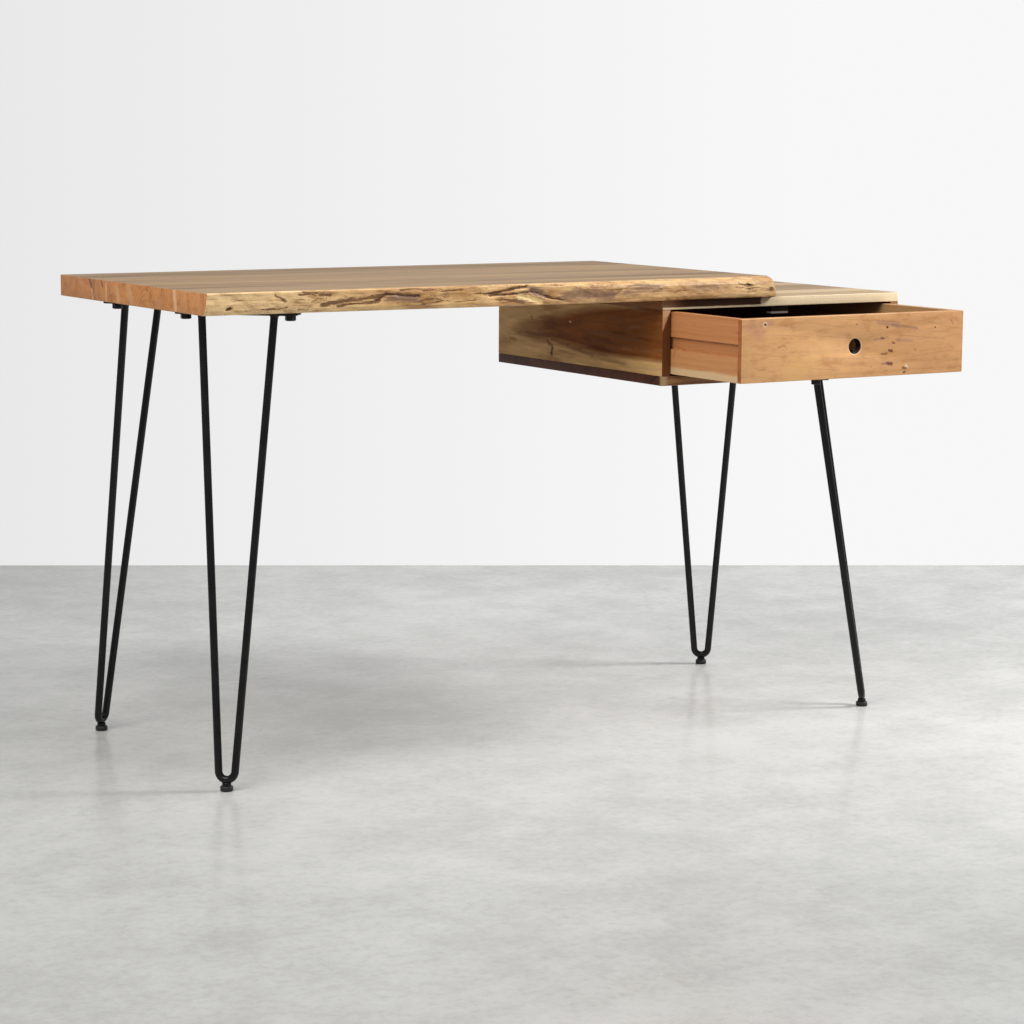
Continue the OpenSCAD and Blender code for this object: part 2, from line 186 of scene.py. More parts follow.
class Value:
    """A number that shader nodes work out at every point of a surface."""

    def __init__(self, graph, socket):
        self.graph = graph
        self.socket = socket

    __add__ = operator("ADD")
    __sub__ = operator("SUBTRACT")
    __rsub__ = operator("SUBTRACT", swapped=True)
    __mul__ = operator("MULTIPLY")
    __truediv__ = operator("DIVIDE")
    __pow__ = operator("POWER")
    at_least = operator("MAXIMUM")
    size = operator("ABSOLUTE")
    root = operator("SQRT")
    fraction = operator("FRACT")
    whole = operator("FLOOR")
    sine = operator("SINE")

    def step(self, low, high):
        """0 up to low, 1 from high, and smooth between them. With low above high it falls."""
        node = self.graph.add("ShaderNodeMapRange")
        node.interpolation_type = "SMOOTHSTEP"
        ends = (0.0, 1.0) if low <= high else (1.0, 0.0)
        self.graph.put(node.inputs["Value"], self)
        node.inputs["From Min"].default_value = min(low, high)
        node.inputs["From Max"].default_value = max(low, high)
        node.inputs["To Min"].default_value, node.inputs["To Max"].default_value = ends
        return Value(self.graph, node.outputs["Result"])


class Graph:
    """One material's node tree, with its principled shader."""

    def __init__(self, name):
        self.material = bpy.data.materials.new(name)
        self.material.use_nodes = True
        self.tree = self.material.node_tree
        self.tree.nodes.clear()
        self.shader = self.add("ShaderNodeBsdfPrincipled")
        output = self.add("ShaderNodeOutputMaterial")
        self.tree.links.new(self.shader.outputs[0], output.inputs["Surface"])

    def add(self, kind):
        return self.tree.nodes.new(kind)

    def put(self, socket, value):
        """Links value to socket, or sets it there if it is a plain number or colour."""
        if isinstance(value, Value):
            self.tree.links.new(value.socket, socket)
        elif isinstance(value, bpy.types.NodeSocket):
            self.tree.links.new(value, socket)
        elif isinstance(value, tuple) and len(value) == 3 and socket.type == "RGBA":
            socket.default_value = (*value, 1.0)
        else:
            socket.default_value = value

    def math(self, operation, *values):
        node = self.add("ShaderNodeMath")
        node.operation = operation
        for socket, value in zip(node.inputs, values):
            self.put(socket, value)
        return Value(self, node.outputs[0])

    def coordinates(self, kind):
        """One of the object's own coordinates, split into x, y and z."""
        node = self.add("ShaderNodeTexCoord")
        split = self.add("ShaderNodeSeparateXYZ")
        self.tree.links.new(node.outputs[kind], split.inputs[0])
        return [Value(self, socket) for socket in split.outputs]

    def place(self):
        """A point of the surface, in metres."""
        return self.coordinates("Object")

    def facing(self):
        """The surface's normal."""
        return self.coordinates("Normal")

    def on_face(self, face, low=0.6, high=0.9):
        """1 where the surface faces the way that face names, such as "-y", and 0 elsewhere."""
        outward = self.facing()["xyz".index(face[1])]
        return (outward if face[0] == "+" else outward * -1.0).step(low, high)

    def noise(self, place, scale, detail, roughness, offset=0.0):
        """Soft noise from 0 to 1, mean 0.5, at so many waves a metre along each direction."""
        join = self.add("ShaderNodeCombineXYZ")
        for socket, value, waves in zip(join.inputs, place, scale):
            self.put(socket, value * waves + offset)
        node = self.add("ShaderNodeTexNoise")
        node.inputs["Scale"].default_value = 1.0
        node.inputs["Detail"].default_value = detail
        node.inputs["Roughness"].default_value = roughness
        self.tree.links.new(join.outputs[0], node.inputs["Vector"])
        return Value(self, node.outputs[0])

    def ripple(self, place, scale, offset, size):
        """Soft noise with its mean at 0, and size from its lowest to its highest."""
        return (self.noise(place, scale, 3.0, 0.6, offset) - 0.5) * size

    def random(self, value, offset):
        """A random number from 0 to 1 that stays the same wherever value does."""
        node = self.add("ShaderNodeTexWhiteNoise")
        node.noise_dimensions = "1D"
        self.put(node.inputs["W"], value + offset)
        return Value(self, node.outputs["Value"])

    def attribute(self, name):
        """A number stored at the mesh's vertices."""
        node = self.add("ShaderNodeAttribute")
        node.attribute_name = name
        return Value(self, node.outputs["Fac"])

    def mix(self, first, second, share, blend="MIX"):
        """A colour share of the way from first to second."""
        node = self.add("ShaderNodeMix")
        node.data_type = "RGBA"
        node.blend_type = blend
        for index, value in ((0, share), (6, first), (7, second)):
            self.put(node.inputs[index], value)
        return node.outputs[2]

    def tint(self, color, shade, share=1.0):
        """color multiplied by the colour shade, by share."""
        return self.mix(color, shade, share, "MULTIPLY")

    def mottle(self, color, value, dark, dark_steps, light, light_steps, share):
        """color tinted with dark where value is high, and with light where it is low."""
        color = self.tint(color, dark, value.step(*dark_steps) * share)
        return self.tint(color, light, value.step(*light_steps) * share)

    def bump(self, height, distance, strength, under=None):
        """The surface's normal, roughened by height in units of distance, over the normal under."""
        node = self.add("ShaderNodeBump")
        node.inputs["Distance"].default_value = distance
        node.inputs["Strength"].default_value = strength
        self.put(node.inputs["Height"], height)
        if under is not None:
            self.put(node.inputs["Normal"], under)
        return node.outputs[0]

    def finish(self, color, roughness, normal, **fixed):
        """Fills in the shader and gives the material. fixed are values that are the same all over."""
        self.put(self.shader.inputs["Base Color"], color)
        self.put(self.shader.inputs["Roughness"], roughness)
        self.put(self.shader.inputs["Normal"], normal)
        for name, value in fixed.items():
            self.shader.inputs[name.replace("_", " ")].default_value = value
        return self.material


# ---------- Wood ----------

# Colours of acacia: heartwood and sapwood, each as early wood and late wood
HEART = ((0.47, 0.265, 0.135), (0.30, 0.148, 0.066))
SAP = ((0.76, 0.58, 0.36), (0.60, 0.41, 0.215))
ALL_HEART = 9.0
WOBBLE = 15.6 * MM
END = (0.6, 0.95)
VEIN = (0.20, 0.13, 0.10)


def wood(name, grain, corner, pith, lean=(0.0, 0.0), ring=3.4 * MM, heart=HEART, sap=SAP,
         heart_r=ALL_HEART, heart_soft=4 * MM, stave=0.0, end_shade=(0.86, 0.66, 0.50), sheen=0.30,
         face_streaks=0.5, streaks=0.35, rings=1.0, stained=(), extra=None, seed=0.0):
    """Wood whose rings are worked out through the whole board, so that its faces, edges and ends agree.

    grain is the direction that the fibres run, X or Y. corner is the board's lowest corner. pith is
    where the tree's middle lies across the board, as (sideways, up) from the corner, and lean is how far
    it moves for each metre along the grain. Wood further than heart_r from the pith is sapwood. stave is
    the width of the strips that the board is glued up from. rings, streaks and face_streaks are
    strengths. stained names the faces, such as "+x", that are painted nearly black as shade
    inside the cabinet and the drawer. extra(g, color, spot) paints over the wood."""
    g = Graph(name)
    spot = [value - start for value, start in zip(g.place(), corner)]
    normal = g.facing()
    if grain == "X":
        run, side, up = spot
        end = normal[0].size()
    else:
        side, run, up = spot
        end = normal[1].size()
    shade_by_stave = None
    if stave:
        index = (side / stave).whole()
        shade_by_stave = g.random(index, seed)
        run = run + shade_by_stave * 3.7
        up = up + g.random(index, seed + 9.3) * 0.05
        side = side - index * stave + g.random(index, seed + 4.1) * 0.04
    spot = [run, side, up]
    slow = g.noise(spot, (1.6, 7.0, 7.0), 2.0, 0.5, seed)
    slower = g.noise(spot, (1.1, 4.0, 4.0), 1.0, 0.5, seed + 31.0)
    side_bent = side + (slow - 0.5) * WOBBLE
    up_bent = up + (slower - 0.5) * WOBBLE
    across = side_bent - run * lean[0] - pith[0]
    above = up_bent - run * lean[1] - pith[1]
    radius = (across * across + above * above).root()
    drift = g.noise(spot, (3.0, 26.0, 26.0), 3.0, 0.6, seed + 7.0)
    turn = (radius / ring + (drift - 0.5) * 1.5).fraction()
    late = turn.step(0.25, 0.92) * turn.step(1.0, 0.93)
    ring_strength = g.noise(spot, (2.0, 11.0, 11.0), 2.0, 0.5, seed + 17.0).step(0.25, 0.75) * 0.6 + 0.22
    at_end = end.step(*END)
    late = late * ring_strength * rings * (1.0 - at_end * 0.45)
    long_streak = g.noise(spot, (0.7, 95.0, 95.0), 4.0, 0.62, seed + 51.0)
    fibre = g.noise(spot, (14.0, 620.0, 620.0), 4.0, 0.65, seed + 3.0)
    band = g.noise(spot, (1.4, 34.0, 34.0), 3.0, 0.55, seed + 5.0)
    pore = g.noise(spot, (55.0, 1500.0, 1500.0), 1.0, 0.5, seed + 13.0).step(0.63, 0.74)
    sap_share = (radius + (drift - 0.5) * 0.012 - heart_r).step(-heart_soft, heart_soft)
    body = g.mix(heart[0], heart[1], (late + (band - 0.5) * 0.9).step(-0.12, 0.95))
    outer = g.mix(sap[0], sap[1], (late * 0.8 + (band - 0.5) * 0.8).step(-0.1, 0.95))
    color = g.mix(body, outer, sap_share)
    color = g.tint(color, (0.70, 0.60, 0.52), fibre.step(0.56, 0.80) * 0.75)
    color = g.tint(color, (1.16, 1.12, 1.06), fibre.step(0.46, 0.26) * 0.6)
    color = g.tint(color, (0.50, 0.40, 0.34), pore * 0.55)
    color = g.mottle(color, long_streak, (0.62, 0.54, 0.47), (0.52, 0.74),
                     (1.26, 1.24, 1.20), (0.48, 0.28), face_streaks)
    vein = g.noise(spot, (2.2, 48.0, 48.0), 3.0, 0.6, seed + 23.0)
    veined = g.noise(spot, (4.0, 9.0, 9.0), 2.0, 0.5, seed + 2.0)
    vein = (vein - 0.5).size().step(0.022, 0.0) * veined.step(0.5, 0.68)
    color = g.mix(color, VEIN, vein * streaks)
    if shade_by_stave is not None:
        color = g.tint(color, (0.66, 0.60, 0.55), shade_by_stave.step(0.30, 0.0) * 0.9)
        color = g.tint(color, (1.26, 1.30, 1.34), shade_by_stave.step(0.55, 1.0))
    blotch = g.noise(spot, (5.0, 42.0, 42.0), 3.0, 0.6, seed + 61.0)
    color = g.tint(color, (0.70, 0.56, 0.46), blotch.step(0.50, 0.68) * at_end * 0.75)
    color = g.tint(color, (1.16, 1.16, 1.14), blotch.step(0.46, 0.32) * at_end * 0.7)
    color = g.tint(color, end_shade, at_end)
    if extra is not None:
        color = extra(g, color, spot)
    for face in stained:
        # Painted shade: these faces, inside the cabinet and the drawer, are tinted nearly black where
        # shade falls.
        color = g.tint(color, (0.16, 0.11, 0.08), g.on_face(face, 0.55))
    height = late * -0.35 + fibre * -0.5 + pore * -0.9
    rough = (fibre - 0.5) * 0.18 + (late * 0.06 + 0.46)
    wave = g.noise(spot, (9.0, 22.0, 22.0), 2.0, 0.5, seed + 41.0)
    soft = g.bump(wave, 0.35 * MM, 0.5)
    return g.finish(color, rough, g.bump(height, 0.16 * MM, 0.55, soft), Specular_IOR_Level=sheen)


# ---------- Mesh helpers ----------

def new_object(name, mesh):
    """A piece in the scene, with its place in its mesh."""
    piece = bpy.data.objects.new(name, mesh)
    bpy.context.scene.collection.objects.link(piece)
    return piece


def mesh_of(bm, name):
    mesh = bpy.data.meshes.new(name)
    bm.to_mesh(mesh)
    bm.free()
    return mesh


def plain_box(low, high):
    bm = bmesh.new()
    bmesh.ops.create_cube(bm, size=1.0)
    for vert in bm.verts:
        vert.co = [low[i] + (vert.co[i] + 0.5) * (high[i] - low[i]) for i in range(3)]
    return bm


def box_object(name, low, high):
    return new_object(name, mesh_of(plain_box(low, high), name))


def combine(piece, others, operation):
    """Joins others to piece, or cuts them from it, and removes them."""
    for other in others:
        step = piece.modifiers.new("step", "BOOLEAN")
        step.operation = operation
        step.solver = "EXACT"
        step.object = other
        bake(piece)
        bpy.data.objects.remove(other)


def bake(piece):
    """Applies all modifiers to the piece's mesh."""
    bpy.context.view_layer.update()
    done = bpy.data.meshes.new_from_object(piece.evaluated_get(bpy.context.evaluated_depsgraph_get()))
    old = piece.data
    piece.modifiers.clear()
    piece.data = done
    bpy.data.meshes.remove(old)


def soften(piece, width):
    """Rounds the piece's edges and evens its shading."""
    bevel = piece.modifiers.new("bevel", "BEVEL")
    bevel.width = width
    bevel.segments = 3
    bevel.limit_method = "ANGLE"
    bevel.angle_limit = math.radians(35.0)
    bevel.use_clamp_overlap = True
    for polygon in piece.data.polygons:
        polygon.use_smooth = True
    weighted = piece.modifiers.new("normals", "WEIGHTED_NORMAL")
    weighted.keep_sharp = True
    bake(piece)


def settle(piece, node, material):
    """Puts a finished piece in a CAD node's place."""
    piece.data.materials.clear()
    piece.data.materials.append(material)
    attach(piece, body_of(frame["nodes"][node])[0])
    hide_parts(node)
    return piece


# ---------- Where things are, from the CAD model ----------

TOP_W = 1045.0
TOP_D = 545.0
TOP_T = 34.0
UNDER = 728.0
BOARD_T = 16.0 * MM
top_low, top_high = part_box("top_back_board")
cab_low = Vector(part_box("cabinet_bottom")[0])
cab_high = Vector(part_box("cabinet_top")[1])
front_low, front_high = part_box("drawer_front")
LEG_TURNS = {"front_left": -42.0, "back_left": 37.0, "front_right": 50.0, "back_right": -39.0}


def desk(x, y, z):
    """A point, in millimetres from the table top's left end, its live edge's mean line and the floor."""
    return Vector((top_low[0] + x * MM, top_high[1] - (TOP_D - y) * MM, z * MM))


LIVE_CORNER = desk(0, 0, UNDER)
CAB_TOP_CORNER = (cab_low.x, cab_low.y, cab_high.z - BOARD_T)


# ---------- Mesh making ----------

def box_bmesh(low, high, radius, square=()):
    """A box with rounded edges, apart from the edges of the sides named in square, such as "+y"."""
    bm = plain_box(low, high)
    kept = set()
    for side in square:
        axis = "xyz".index(side[1])
        plane = high[axis] if side[0] == "+" else low[axis]
        for edge in bm.edges:
            if all(abs(vert.co[axis] - plane) < 1e-6 for vert in edge.verts):
                kept.add(edge)
    rounded = [edge for edge in bm.edges if edge not in kept]
    bmesh.ops.bevel(bm, geom=rounded, offset=radius, segments=3, profile=0.5, affect="EDGES")
    return bm


def lathe_bmesh(profile, segments=48, shape=None):
    """A closed solid turned about Z from (radius, height) pairs in millimetres, which start and end on
    the axis. shape(angle, index) multiplies the radius."""
    bm = bmesh.new()
    rings = []
    for index, pair in enumerate(profile):
        radius, height = (value * MM for value in pair)
        if radius == 0.0:
            rings.append([bm.verts.new((0.0, 0.0, height))])
            continue
        ring = []
        for k in range(segments):
            angle = math.tau * k / segments
            grown = radius * (shape(angle, index) if shape else 1.0)
            ring.append(bm.verts.new((grown * math.cos(angle), grown * math.sin(angle), height)))
        rings.append(ring)
    for lower, upper in zip(rings, rings[1:]):
        for k in range(segments):
            a, b = lower[k % len(lower)], lower[(k + 1) % len(lower)]
            c, d = upper[(k + 1) % len(upper)], upper[k % len(upper)]
            corners = list(dict.fromkeys((a, b, c, d)))
            if len(corners) > 2:
                bm.faces.new(corners)
    bmesh.ops.recalc_face_normals(bm, faces=bm.faces)
    return bm


def skinned(bm, rings):
    """Closes rings of as many vertices each into one solid."""
    count = len(rings[0])
    for lower, upper in zip(rings, rings[1:]):
        for k in range(count):
            n = (k + 1) % count
            bm.faces.new((lower[k], lower[n], upper[n], upper[k]))
    bm.faces.new(rings[0])
    bm.faces.new(rings[-1])
    bmesh.ops.recalc_face_normals(bm, faces=bm.faces)
    return bm


def tube_bmesh(centres, across, radii, sides=32):
    """A closed tube along centres, a path in one plane. across is at right angles to that plane."""
    bm = bmesh.new()
    rings = []
    for index, centre in enumerate(centres):
        before = centres[max(index - 1, 0)]
        after = centres[min(index + 1, len(centres) - 1)]
        outward = (after - before).normalized().cross(across).normalized()
        ring = []
        for k in range(sides):
            angle = math.tau * k / sides
            ring.append(bm.verts.new(centre + radii[index] * (math.cos(angle) * outward
                                                              + math.sin(angle) * across)))
        rings.append(ring)
    return skinned(bm, rings)


def shade_smooth(mesh, sharp):
    for polygon in mesh.polygons:
        polygon.use_smooth = True
    mesh.set_sharp_from_angle(angle=math.radians(sharp))


def to_object(bm, name, sharp=40.0):
    """An object from a bmesh, shaded smooth except across sharp edges."""
    mesh = mesh_of(bm, name)
    shade_smooth(mesh, sharp)
    return new_object(name, mesh)


def joined(parts):
    """One bmesh from several."""
    whole = bmesh.new()
    for part in parts:
        mesh = mesh_of(part, "part")
        whole.from_mesh(mesh)
        bpy.data.meshes.remove(mesh)
    return whole


def moved(bm, matrix):
    """The bmesh itself, put in its place."""
    bm.transform(matrix)
    return bm


def plain_board(node, material, radius, square=()):
    """A board that fills its CAD node's box."""
    low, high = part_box(node)
    piece = to_object(box_bmesh(low, high, radius, square), "visual_" + node)
    return settle(piece, node, material)


def cut_board(node, material, low, high, cuts, radius, joins=()):
    """A board with grooves or holes cut in it, then its edges rounded."""
    piece = box_object("visual_" + node, low, high)
    combine(piece, joins, "UNION")
    combine(piece, cuts, "DIFFERENCE")
    soften(piece, radius)
    return settle(piece, node, material)


# ---------- Live edge ----------

LIVE_DEPTH = 118.0
END_R = 1.3
SHOULDER = 9.0
LIP_BACK = 21
ROUND_TOP = 2.2
ROUND_UNDER = 2.0
ROUND_SHARE = 0.075
FRONT_ROWS = 46
SECTIONS = 620

# Marks on the live edge: kind, half width and strength, then points as (along, height) in millimetres
LIVE_MARKS = [
    ("pit", 2.6, 1.0, [(38, 9), (41, 11)]),
    ("line", 0.8, 0.5, [(30, 16), (44, 20), (60, 21)]),
    ("line", 0.7, 0.4, [(22, 24), (40, 27), (64, 29)]),
    ("line", 0.8, 0.5, [(48, 7), (66, 5), (84, 4)]),
    ("stain", 1.8, 0.8, [(113, 29), (120, 25), (127, 22), (130, 18)]),
    ("line", 1.3, 0.8, [(94, 8), (108, 8), (122, 7), (136, 9)]),
    ("stain", 1.6, 0.9, [(154, 28), (168, 29), (184, 28), (206, 26)]),
    ("stain", 1.5, 0.6, [(160, 32), (180, 31), (196, 30)]),
    ("line", 0.8, 0.4, [(150, 20), (175, 22), (205, 21)]),
    ("stain", 3.0, 1.0, [(196, 12), (212, 14), (230, 17), (252, 18)]),
    ("stain", 2.6, 1.0, [(246, 17), (268, 20), (288, 22), (302, 25)]),
    ("stain", 1.7, 0.9, [(222, 9), (240, 11), (262, 13), (290, 14)]),
    ("crack", 2.2, 1.0, [(286, 15), (293, 19), (302, 25), (318, 24), (338, 21), (360, 20)]),
    ("purple", 4.0, 0.9, [(304, 18), (326, 18), (352, 15)]),
    ("stain", 1.4, 0.8, [(326, 30), (350, 32), (378, 31), (404, 30)]),
    ("stain", 1.5, 0.8, [(366, 28), (388, 29), (412, 27), (436, 27)]),
    ("stain", 1.5, 0.7, [(352, 10), (368, 14), (386, 16), (402, 13), (388, 9), (366, 8)]),
    ("stain", 1.0, 0.6, [(374, 11), (388, 12), (396, 12)]),
    ("line", 1.1, 0.6, [(404, 22), (424, 24), (446, 22)]),
    ("line", 1.0, 0.5, [(410, 12), (436, 10), (460, 11)]),
    ("stain", 2.0, 0.7, [(460, 22), (480, 21), (504, 19)]),
    ("crack", 1.8, 1.0, [(486, 20), (502, 22), (520, 25), (536, 28), (554, 30)]),
    ("crack", 1.6, 0.9, [(490, 18), (512, 18), (536, 19), (566, 22)]),
    ("stain", 4.6, 0.8, [(508, 12), (524, 9), (544, 7)]),
    ("hollow", 5.6, 1.0, [(544, 15), (560, 11), (578, 6)]),
    ("crack", 3.0, 1.0, [(564, 22), (576, 19), (590, 14)]),
    ("crack", 1.6, 1.0, [(588, 14), (604, 10), (624, 7)]),
    ("purple", 5.0, 0.9, [(566, 26), (580, 22)]),
    ("line", 0.9, 0.6, [(566, 30), (592, 31), (622, 30)]),
    ("purple", 7.5, 1.0, [(632, 15), (660, 15), (690, 13), (706, 13)]),
    ("stain", 2.0, 0.8, [(662, 21), (676, 15), (690, 11), (706, 13), (722, 16)]),
    ("stain", 1.4, 0.7, [(706, 22), (722, 20), (740, 22)]),
    ("stain", 1.6, 0.7, [(720, 14), (734, 20), (752, 26)]),
    ("purple", 7.0, 0.8, [(744, 16), (776, 20), (806, 20)]),
    ("stain", 1.5, 0.8, [(750, 26), (776, 27), (800, 24), (812, 19)]),
    ("line", 1.0, 0.5, [(756, 12), (780, 13), (800, 12)]),
    ("stain", 1.2, 0.5, [(838, 14), (852, 16), (866, 14)]),
    ("purple", 6.0, 0.65, [(876, 22), (900, 19), (922, 21)]),
    ("stain", 1.0, 0.5, [(872, 27), (896, 26), (924, 25)]),
    ("stain", 1.5, 0.8, [(968, 24), (980, 21), (992, 20), (1004, 22)]),
    ("pit", 1.8, 0.9, [(985, 22), (990, 21)]),
    ("line", 0.9, 0.6, [(962, 18), (984, 15), (1006, 17)]),
    ("line", 0.8, 0.7, [(1030, 14), (1034, 17), (1037, 14), (1034, 11), (1030, 14)]),
]
MARK_DEPTH = {"pit": 3.2, "crack": 3.4, "hollow": 3.0, "stain": 0.5, "purple": 0.9, "line": 0.25}


def blend_levels(share, levels):
    """The value at share, straight between (share, value) levels."""
    for (s0, v0), (s1, v1) in zip(levels, levels[1:]):
        if share <= s1:
            t = (share - s0) / (s1 - s0)
            return v0 + (v1 - v0) * t
    return levels[-1][1]


def edge_line(x, share):
    """How far back the live edge lies at x, with share from 0 at the top to 1 at the underside."""
    s = x / TOP_W

    def wave(angle):
        return math.sin(math.radians(angle))
    top = 17 * s ** 2 + 2 * wave(430 * s) + 1.2 * wave(1130 * s)
    bulge = 3 - 7 * s + 2 * wave(300 * s + 40) + wave(900 * s)
    bottom = 15 * (1 - s) ** 1.5 - 6 * s + 1.5 * wave(520 * s)
    return blend_levels(share, [(0.0, top), (0.06, top * 0.62 + bulge * 0.38 - 1),
                                (0.16, top * 0.28 + bulge * 0.72 - 1),
                                (0.3, top * 0.08 + bulge * 0.92 - 0.5), (0.5, bulge),
                                (0.8, (bottom + bulge) / 2 - 1), (1.0, bottom)])


def to_segment(px, pz, a, b):
    """Distance from a point to a segment, with heights counted 1.5 times."""
    ax, az, bx, bz = a[0], a[1] * 1.5, b[0], b[1] * 1.5
    pz = pz * 1.5
    dx, dz = bx - ax, bz - az
    t = max(0.0, min(1.0, ((px - ax) * dx + (pz - az) * dz) / (dx * dx + dz * dz + 1e-9)))
    return math.hypot(px - ax - t * dx, pz - az - t * dz)


def live_marks_at(x, height):
    """{kind: strength} of the marks at a point of the live edge."""
    found = {}
    warp = noise.noise(Vector((x * 0.11, height * 0.3, 4.0)))
    warp_2 = noise.noise(Vector((x * 0.45, height * 0.9, 9.0)))
    wx = x + warp * 3.0
    wz = height + warp * 1.2 + warp_2 * 0.9
    for kind, width, strength, points in LIVE_MARKS:
        if not points[0][0] - 60 < x < points[-1][0] + 60:
            continue
        near = min(to_segment(wx, wz, a, b) for a, b in zip(points, points[1:]))
        reach = width * (2.4 if kind in ("pit", "hollow") else 3.2)
        value = strength * max(0.0, 1.0 - near / reach)
        found[kind] = max(found.get(kind, 0.0), value)
    return found


def rounding(past):
    """How far a rounded edge falls back, from 0 to 1, where past is how much of the height lies in it."""
    return 1 - math.sqrt(max(0.0, 1 - (max(0.0, past) / ROUND_SHARE) ** 2))


def smooth(low, high, value):
    """0 up to low, 1 from high, and smooth between them."""
    t = max(0.0, min(1.0, (value - low) / (high - low)))
    return t * t * (3 - 2 * t)


def live_edge_piece(material):
    """The front board: a closed loft of sections with its natural edge shaped and marked."""
    top_rows = [118, 117.4, 100, 80, 62, 48, 38, 30, 25, 21]
    ends = [0.0, 0.25, 0.7, END_R]
    stations = ends + [END_R + (TOP_W - 2 * END_R) * i / SECTIONS for i in range(1, SECTIONS)]
    stations += [TOP_W - x for x in reversed(ends)]
    bm = bmesh.new()
    names = ("stain", "purple", "hollow", "rim", "shade")
    layers = {name: bm.verts.layers.float.new(name) for name in names}
    rings = []
    for x in stations:
        to_end = min(x, TOP_W - x)
        inset = END_R - math.sqrt(max(0.0, END_R ** 2 - (END_R - min(to_end, END_R)) ** 2))
        ring = []

        def put(y, z, **values):
            vert = bm.verts.new(desk(x, y, z))
            for name, value in values.items():
                vert[layers[name]] = value
            ring.append(vert)

        past = max(0.0, x - (TOP_W - SHOULDER))
        round_top = SHOULDER - math.sqrt(max(0.0, SHOULDER ** 2 - past ** 2))
        lip = edge_line(x, 0.0) + ROUND_TOP
        for y in top_rows:
            back = lip + (LIVE_DEPTH - lip) * max(0.0, (y - LIP_BACK) / (LIVE_DEPTH - LIP_BACK))
            put(back, UNDER + TOP_T - inset, rim=1.0 - smooth(1.0, 5.0, back - lip + ROUND_TOP))
        for row in range(FRONT_ROWS + 1):
            share = row / FRONT_ROWS
            height = TOP_T * (1.0 - share)
            y = edge_line(x, share)
            y += ROUND_TOP * rounding(ROUND_SHARE - share)
            y += ROUND_UNDER * rounding(share - 1 + ROUND_SHARE)
            ripple = noise.noise(Vector((x * 0.02, share * 1.1, 1.7))) * 1.3
            ripple += noise.noise(Vector((x * 0.09, share * 3.4, 6.0))) * 0.55
            ripple += noise.noise(Vector((x * 0.30, share * 9.0, 2.0))) * 0.22
            fade = smooth(0.0, 0.12, share) * smooth(0.0, 0.12, 1 - share)
            marks = live_marks_at(x, height)
            depth = max([MARK_DEPTH[kind] * value for kind, value in marks.items()], default=0.0)
            y += fade * ripple + depth * (0.25 + 0.75 * fade)
            y += round_top * (1.0 - 0.75 * smooth(0.15, 0.9, share))
            y += inset
            z = UNDER + height
            if row == 0:
                z -= inset
            z = min(z, UNDER + TOP_T - inset)
            z = max(z, UNDER + inset)
            stain = max(marks.get(kind, 0.0) for kind in ("pit", "crack", "stain", "line"))
            deep = max(marks.get("pit", 0.0), marks.get("crack", 0.0))
            put(y, z, stain=stain, purple=marks.get("purple", 0.0), hollow=marks.get("hollow", 0.0),
                rim=1.0, shade=deep)
        for y in (24, 30, 45, 70, 100, 118):
            low_lip = edge_line(x, 1.0) + ROUND_UNDER
            back = low_lip + (LIVE_DEPTH - low_lip) * (y - LIP_BACK) / (LIVE_DEPTH - LIP_BACK)
            put(back, UNDER + inset, rim=1.0 - smooth(22.0, 32.0, y))
        rings.append(ring)
    piece = to_object(skinned(bm, rings), "visual_top_live_edge_board", 50.0)
    return settle(piece, "top_live_edge_board", material)


